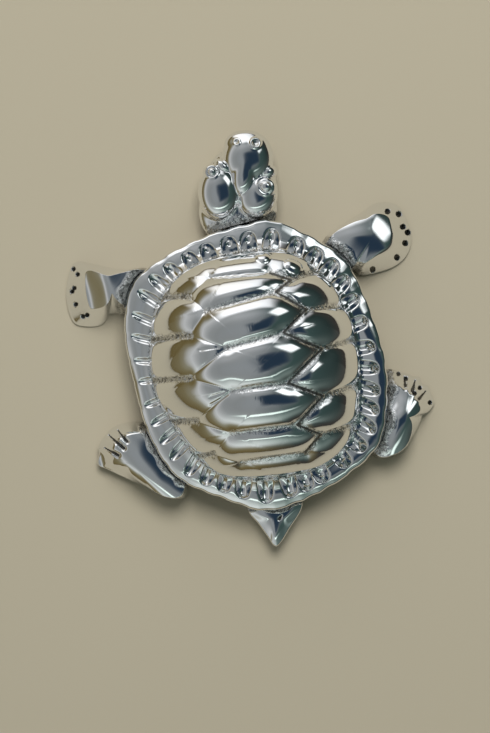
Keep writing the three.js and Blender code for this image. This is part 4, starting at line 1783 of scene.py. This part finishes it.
REAR_LEFT_LEG = Limb(
    name="rear_left_leg",
    around=214,
    outline=(
        (-0.0322, -0.0104), (-0.0352, -0.0104), (-0.0379, -0.0112), (-0.0393, -0.0122), (-0.0413, -0.0142),
        (-0.0422, -0.0159), (-0.0421, -0.0171), (-0.0427, -0.0189), (-0.0426, -0.0202), (-0.0405, -0.0215),
        (-0.0377, -0.0233), (-0.0334, -0.0260), (-0.0303, -0.0280), (-0.0280, -0.0297), (-0.0256, -0.0309),
        (-0.0228, -0.0311), (-0.0213, -0.0298), (-0.0205, -0.0205), (-0.0260, -0.0125),
    ),
    core=(-0.0341, -0.0206),
    height=0.0094,
    edge=0.0030,
    skirt=Skirt(0.0026, 0.0016, 150, 1.6),
    crown=0.0014,
    bends=(Bend(215, 0.0012, 0.74, 0.0010, 0.0062), Bend(205, -0.0040, 0.14, 0.0020)),
    creases=(
        Crease((-0.0346, -0.0150), (-0.0366, -0.0120), 0.0005, 0.0008),
        Crease((-0.0356, -0.0166), (-0.0390, -0.0130), 0.0006, 0.0010),
        Crease((-0.0372, -0.0182), (-0.0404, -0.0160), 0.0005, 0.0008),
    ),
    band=0.0011,
)

REAR_RIGHT_LEG = Limb(
    name="rear_right_leg",
    around=329,
    outline=(
        (0.0328, -0.0051), (0.0348, -0.0057), (0.0363, -0.0065), (0.0377, -0.0068), (0.0386, -0.0076),
        (0.0404, -0.0080), (0.0408, -0.0096), (0.0423, -0.0106), (0.0427, -0.0123), (0.0432, -0.0139),
        (0.0430, -0.0153), (0.0416, -0.0169), (0.0400, -0.0178), (0.0393, -0.0191), (0.0380, -0.0211),
        (0.0367, -0.0230), (0.0351, -0.0251), (0.0331, -0.0265), (0.0306, -0.0272), (0.0281, -0.0274),
        (0.0266, -0.0267), (0.0225, -0.0205), (0.0250, -0.0145), (0.0285, -0.0065),
    ),
    core=(0.0352, -0.0176),
    height=0.0100,
    edge=0.0014,
    skirt=Skirt(0.0028, 0.0020, 60, 1.4),
    crown=0.0010,
    bends=(
        Bend(335, -0.0003, 0.58, 0.0020),
        Bend(165, 0.0012, 0.40, 0.0012),
        Bend(95, 0.0010, 0.50, 0.0014, 0.0048),
    ),
    marks=pits(
        places=(
            (0.0368, -0.0080), (0.0399, -0.0107), (0.0383, -0.0119), (0.0420, -0.0147), (0.0351, -0.0066),
        ),
        radius=0.0006,
        depth=0.0008,
    ),
    creases=(
        Crease((0.0363, -0.0098), (0.0364, -0.0074), 0.0005, 0.0006),
        Crease((0.0379, -0.0112), (0.0390, -0.0088), 0.0006, 0.0008),
        Crease((0.0393, -0.0134), (0.0412, -0.0118), 0.0005, 0.0006),
    ),
    band=0.0017,
)

TAIL = Limb(
    name="tail",
    around=270,
    outline=(
        (-0.0068, -0.0356), (-0.0044, -0.0398), (-0.0022, -0.0439), (-0.0015, -0.0453), (-0.0007, -0.0458),
        (0.0005, -0.0450), (0.0030, -0.0419), (0.0071, -0.0362), (0.0060, -0.0300), (-0.0050, -0.0295),
    ),
    core=(-0.0004, -0.0384),
    height=0.0062,
    edge=0.0050,
    skirt=Skirt(0.0036),
    crown=0.0006,
    creases=(Crease((0.0009, -0.0390), (0.0016, -0.0382), 0.0005, 0.0005),),
    band=0.0003,
)

LIMBS = (HEAD, FRONT_LEFT_LEG, FRONT_RIGHT_LEG, REAR_LEFT_LEG, REAR_RIGHT_LEG, TAIL)


@dataclass(frozen=True)
class Plastron:
    """Belly plate: a shallow tray that closes the shell from below and holds the limbs' tenons."""

    edge_round: float = 0.0009
    round_stations: int = 6
    pillar_radius: float = 0.0026
    pillar_sides: int = 32
    columns: int = 360

    def tray(self) -> bpy.types.Object:
        """Builds the plain tray.

        Returns:
            The tray.
        """
        angle = all_around(self.columns)
        edge = PLAN.rim_radius(angle, RIM_OVERHANG)
        inner = PLAN.rim_radius(angle, RIM_OVERHANG + TRAY_WALL)
        rows = [(edge * 0, FELT_TOP), (edge / 2, FELT_TOP)]
        for turn in np.linspace(0, QUARTER_TURN, self.round_stations):
            out = edge - self.edge_round * (1 - math.sin(turn))
            rows.append((out, FELT_TOP + self.edge_round * (1 - math.cos(turn))))
        rows += [(edge, SHELL_UNDERSIDE), (inner, SHELL_UNDERSIDE)]
        rows += [(inner, FLOOR_TOP), (inner / 2, FLOOR_TOP), (inner * 0, FLOOR_TOP)]
        points = ring_points(angle, rows)
        return net_object("plastron_casting", points, np.full(points.shape[:2], TRAY_CAST))

    def pillars(self) -> bpy.types.Object:
        """Makes the four pillars under the shell screws as one tool solid.

        Returns:
            The tool.
        """
        shape = bmesh.new()
        low = (FELT_TOP + FLOOR_TOP) / 2
        for place in shell_screw_places():
            bmesh.ops.create_cone(
                shape,
                cap_ends=True,
                segments=self.pillar_sides,
                radius1=self.pillar_radius,
                radius2=self.pillar_radius,
                depth=SHELL_UNDERSIDE - low,
                matrix=Matrix.Translation((*place, (SHELL_UNDERSIDE + low) / 2)),
            )
        return tool_object(shape)

    def build(self, finish: bpy.types.Material) -> bpy.types.Object:
        """Builds and dresses the plate.

        Args:
            finish: Material of the castings.

        Returns:
            The finished piece.
        """
        piece = self.tray()
        worked(piece, self.pillars(), Cut.JOIN)
        for limb in LIMBS:
            tenon = Tenon(limb.around)
            worked(piece, tenon.block(0.0, TENON_SLOT_TOP), Cut.REMOVE)
            worked(piece, tenon.hole(), Cut.REMOVE)
        worked(piece, shell_screw_holes(), Cut.REMOVE)
        dressed(piece, "plastron", finish)
        return piece


@dataclass(frozen=True)
class FeltPad:
    """Felt glued under the belly plate, cut to its outline."""

    margin: float = 0.0026
    edge_round: float = 0.0004
    columns: int = 360
    stations: int = 14
    round_stations: int = 9

    def build(self, finish: bpy.types.Material, carrier: bpy.types.Object) -> None:
        """Args:
            finish: Material of the felt.
            carrier: Piece that the pad lies under; not used.
        """
        angle = all_around(self.columns)
        edge = PLAN.rim_radius(angle, RIM_OVERHANG + self.margin)
        inner = np.linspace(0, 1, self.stations)[:-1]
        rows = [((edge - self.edge_round) * share, 0.0) for share in inner]
        for turn in np.linspace(-QUARTER_TURN, QUARTER_TURN, self.round_stations):
            middle = FELT_TOP / 2 + (FELT_TOP / 2 - self.edge_round) * np.sign(turn)
            out = edge - self.edge_round * (1 - math.cos(turn))
            rows.append((out, middle + self.edge_round * math.sin(turn)))
        rows += [((edge - self.edge_round) * share, FELT_TOP) for share in inner[::-1]]
        points = ring_points(angle, rows)
        piece = net_object("felt_pad_cut", points, np.zeros(points.shape[:2]))
        dressed(piece, "felt_pad", finish)


@dataclass(frozen=True)
class Inside:
    """Ballast and screws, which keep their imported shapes."""

    ballast: str = "ballast"
    screw_word: str = "screw"

    def dress(self, iron: bpy.types.Material, steel: bpy.types.Material) -> None:
        """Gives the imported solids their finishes.

        Args:
            iron: Material of the ballast.
            steel: Material of the screws.
        """
        for name, node in sorted(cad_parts.items()):
            if name == self.ballast or self.screw_word in name:
                finish = iron if name == self.ballast else steel
                node.data.materials.clear()
                node.data.materials.append(finish)
                log.info("%s: keeps its packed shape in %s", name, finish.name)


@dataclass(frozen=True)
class Glow:
    """Soft patch of light in the room, seen from the part.

    The zenith angle and the azimuth, from +X to +Y, are in degrees. The spreads are around and up.
    """

    zenith: float
    azimuth: float
    spread: Point
    colour: Tint
    crispness: float = 2.0

    def share(self, nodes: Nodes, toward: Socket) -> Socket:
        """Adds nodes that find how much of the patch lies in each direction.

        Args:
            nodes: Nodes of the room.
            toward: Directions from the part.

        Returns:
            Shares from 1 in the middle of the patch to 0 outside it.
        """
        zenith, azimuth = math.radians(self.zenith), math.radians(self.azimuth)
        ahead = (math.cos(azimuth), math.sin(azimuth))
        middle = (ahead[0] * math.sin(zenith), ahead[1] * math.sin(zenith), math.cos(zenith))
        around = (-ahead[1], ahead[0], 0.0)
        up = (-ahead[0] * math.cos(zenith), -ahead[1] * math.cos(zenith), math.sin(zenith))
        total = 0.0
        for axis, spread in zip((around, up), self.spread, strict=True):
            away = nodes.math("ABSOLUTE", nodes.math("DIVIDE", nodes.dot(toward, axis), spread))
            total = nodes.math("ADD", nodes.math("POWER", away, self.crispness), total)
        fall = nodes.math("POWER", math.e, nodes.math("MULTIPLY", total, -1.0))
        return nodes.math("MULTIPLY", fall, nodes.math("GREATER_THAN", nodes.dot(toward, middle), 0.0))


@dataclass(frozen=True)
class Studio:
    """Pale floor, soft light and the camera, which looks straight down."""

    floor_colour: Colour = (0.44, 0.39, 0.29, 1.0)
    floor_shade: float = 0.96
    floor_scale: float = 6.0
    floor_roughness: float = 0.9
    floor_half_size: float = 1.5
    view_turn: float = -7.0
    view_middle: Point = (-0.00302, -0.00001)
    view_distance: float = 0.8
    view_level: float = 0.008
    view_height: float = 0.18325
    sensor: float = 36.0
    fill_place: Place = (0.1, 0.5, 0.9)
    fill_size: float = 0.5
    fill_energy: float = 9.0
    glows: tuple[Glow, ...] = (
        Glow(66, 94, (0.43, 0.34), (0.95, 0.96, 0.98), 8.0),
        Glow(43, 40, (0.20, 0.18), (1.3, 1.35, 1.35), 6.0),
        Glow(33, -88, (0.42, 0.045), (0.85, 1.0, 0.92), 4.0),
        Glow(52, -95, (0.60, 0.26), (0.26, 0.31, 0.28)),
        Glow(34, 90, (0.40, 0.20), (0.16, 0.16, 0.17)),
    )
    shade: Glow = Glow(13, 10, (0.25, 0.29), (0.018, 0.034, 0.056), 8.0)

    # Colours of the two walls, from the floor up to overhead, and where along X the left one gives way.
    left_wall: tuple[tuple[float, Tint], ...] = (
        (0.0, (0.12, 0.09, 0.035)),
        (0.20, (0.15, 0.12, 0.055)),
        (0.32, (0.20, 0.18, 0.12)),
        (0.42, (0.38, 0.38, 0.36)),
        (0.50, (0.48, 0.49, 0.49)),
        (0.62, (0.35, 0.36, 0.36)),
        (0.74, (0.26, 0.275, 0.275)),
        (0.88, (0.23, 0.245, 0.245)),
        (1.0, (0.25, 0.27, 0.28)),
    )
    right_wall: tuple[tuple[float, Tint], ...] = (
        (0.0, (0.04, 0.035, 0.03)),
        (0.3, (0.020, 0.032, 0.030)),
        (0.8, (0.040, 0.070, 0.066)),
        (0.94, (0.12, 0.14, 0.145)),
        (1.0, (0.25, 0.27, 0.28)),
    )
    wall_span: Point = (-0.2, 0.25)

    def floor(self) -> None:
        """Lays the floor."""
        shape = bmesh.new()
        bmesh.ops.create_grid(shape, x_segments=2, y_segments=2, size=self.floor_half_size)
        piece = finished_object("floor", shape)
        material, nodes, place = material_nodes("pale_floor")
        deeper = (*(value * self.floor_shade for value in self.floor_colour[:3]), 1.0)
        colour = nodes.mixed(nodes.noise(place, self.floor_scale), deeper, self.floor_colour)
        nodes.surface({"Base Color": colour, "Roughness": self.floor_roughness})
        piece.data.materials.append(material)

    def room(self) -> None:
        """Paints the soft room that the metal reflects: dim walls, a shade and a few patches of light."""
        world = bpy.data.worlds.new("studio_room")
        bpy.context.scene.world = world
        world.use_nodes = True
        nodes = Nodes(world.node_tree)
        toward = nodes.add("ShaderNodeTexCoord").outputs["Generated"]
        axes = nodes.add("ShaderNodeSeparateXYZ", {"Vector": toward}).outputs
        left = nodes.ramp(axes["Z"], self.left_wall)
        right = nodes.ramp(axes["Z"], self.right_wall)
        colour = nodes.mixed(nodes.ranged(axes["X"], self.wall_span), left, right)
        colour = nodes.mixed(self.shade.share(nodes, toward), colour, (*self.shade.colour, 1.0))
        for glow in self.glows:
            sockets = {0: glow.colour, "Scale": glow.share(nodes, toward)}
            light = nodes.add("ShaderNodeVectorMath", sockets, operation="SCALE").outputs["Vector"]
            total = nodes.add("ShaderNodeVectorMath", {0: colour, 1: light}, operation="ADD")
            colour = total.outputs["Vector"]
        light = nodes.add("ShaderNodeBackground", {"Color": colour, "Strength": 1.0})
        nodes.add("ShaderNodeOutputWorld", {"Surface": light.outputs["Background"]})

    def fill(self) -> None:
        """Hangs a soft lamp that lights the floor and isn't seen in the metal."""
        lamp = bpy.data.lights.new("fill", "AREA")
        lamp.size = self.fill_size
        lamp.energy = self.fill_energy
        item = bpy.data.objects.new("fill", lamp)
        item.location = self.fill_place
        item.rotation_euler = (-Vector(self.fill_place)).to_track_quat("-Z", "Y").to_euler()
        item.visible_glossy = False
        bpy.context.scene.collection.objects.link(item)

    def camera(self) -> None:
        """Sets the camera over the part."""
        lens = bpy.data.cameras.new("camera")
        lens.sensor_width = self.sensor
        lens.lens = self.sensor * self.view_distance / self.view_height
        item = bpy.data.objects.new("camera", lens)
        item.location = (*self.view_middle, self.view_level + self.view_distance)
        item.rotation_euler = (0.0, 0.0, math.radians(self.view_turn))
        bpy.context.scene.collection.objects.link(item)
        bpy.context.scene.camera = item

    def build(self) -> None:
        """Builds the floor, the room, the lamp and the camera."""
        self.floor()
        self.room()
        self.fill()
        self.camera()
        bpy.context.scene.view_settings.view_transform = "Standard"


def main() -> None:
    """Builds the turtle, piece by piece, and the studio around it."""
    logging.basicConfig(level=logging.INFO, format="%(message)s")
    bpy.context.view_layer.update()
    grain = SandGrain().group()
    buff = BuffMarks().group()
    aluminium = PolishedAluminium().material(grain, buff)
    Carapace().build(aluminium)
    belly = Plastron().build(aluminium)
    for limb in LIMBS:
        limb.build(aluminium)
    FeltPad().build(GreenFelt().material(), belly)
    Inside().dress(CastIron().material(grain), ScrewSteel().material(buff))
    Studio().build()


if __name__ == "__main__":
    main()
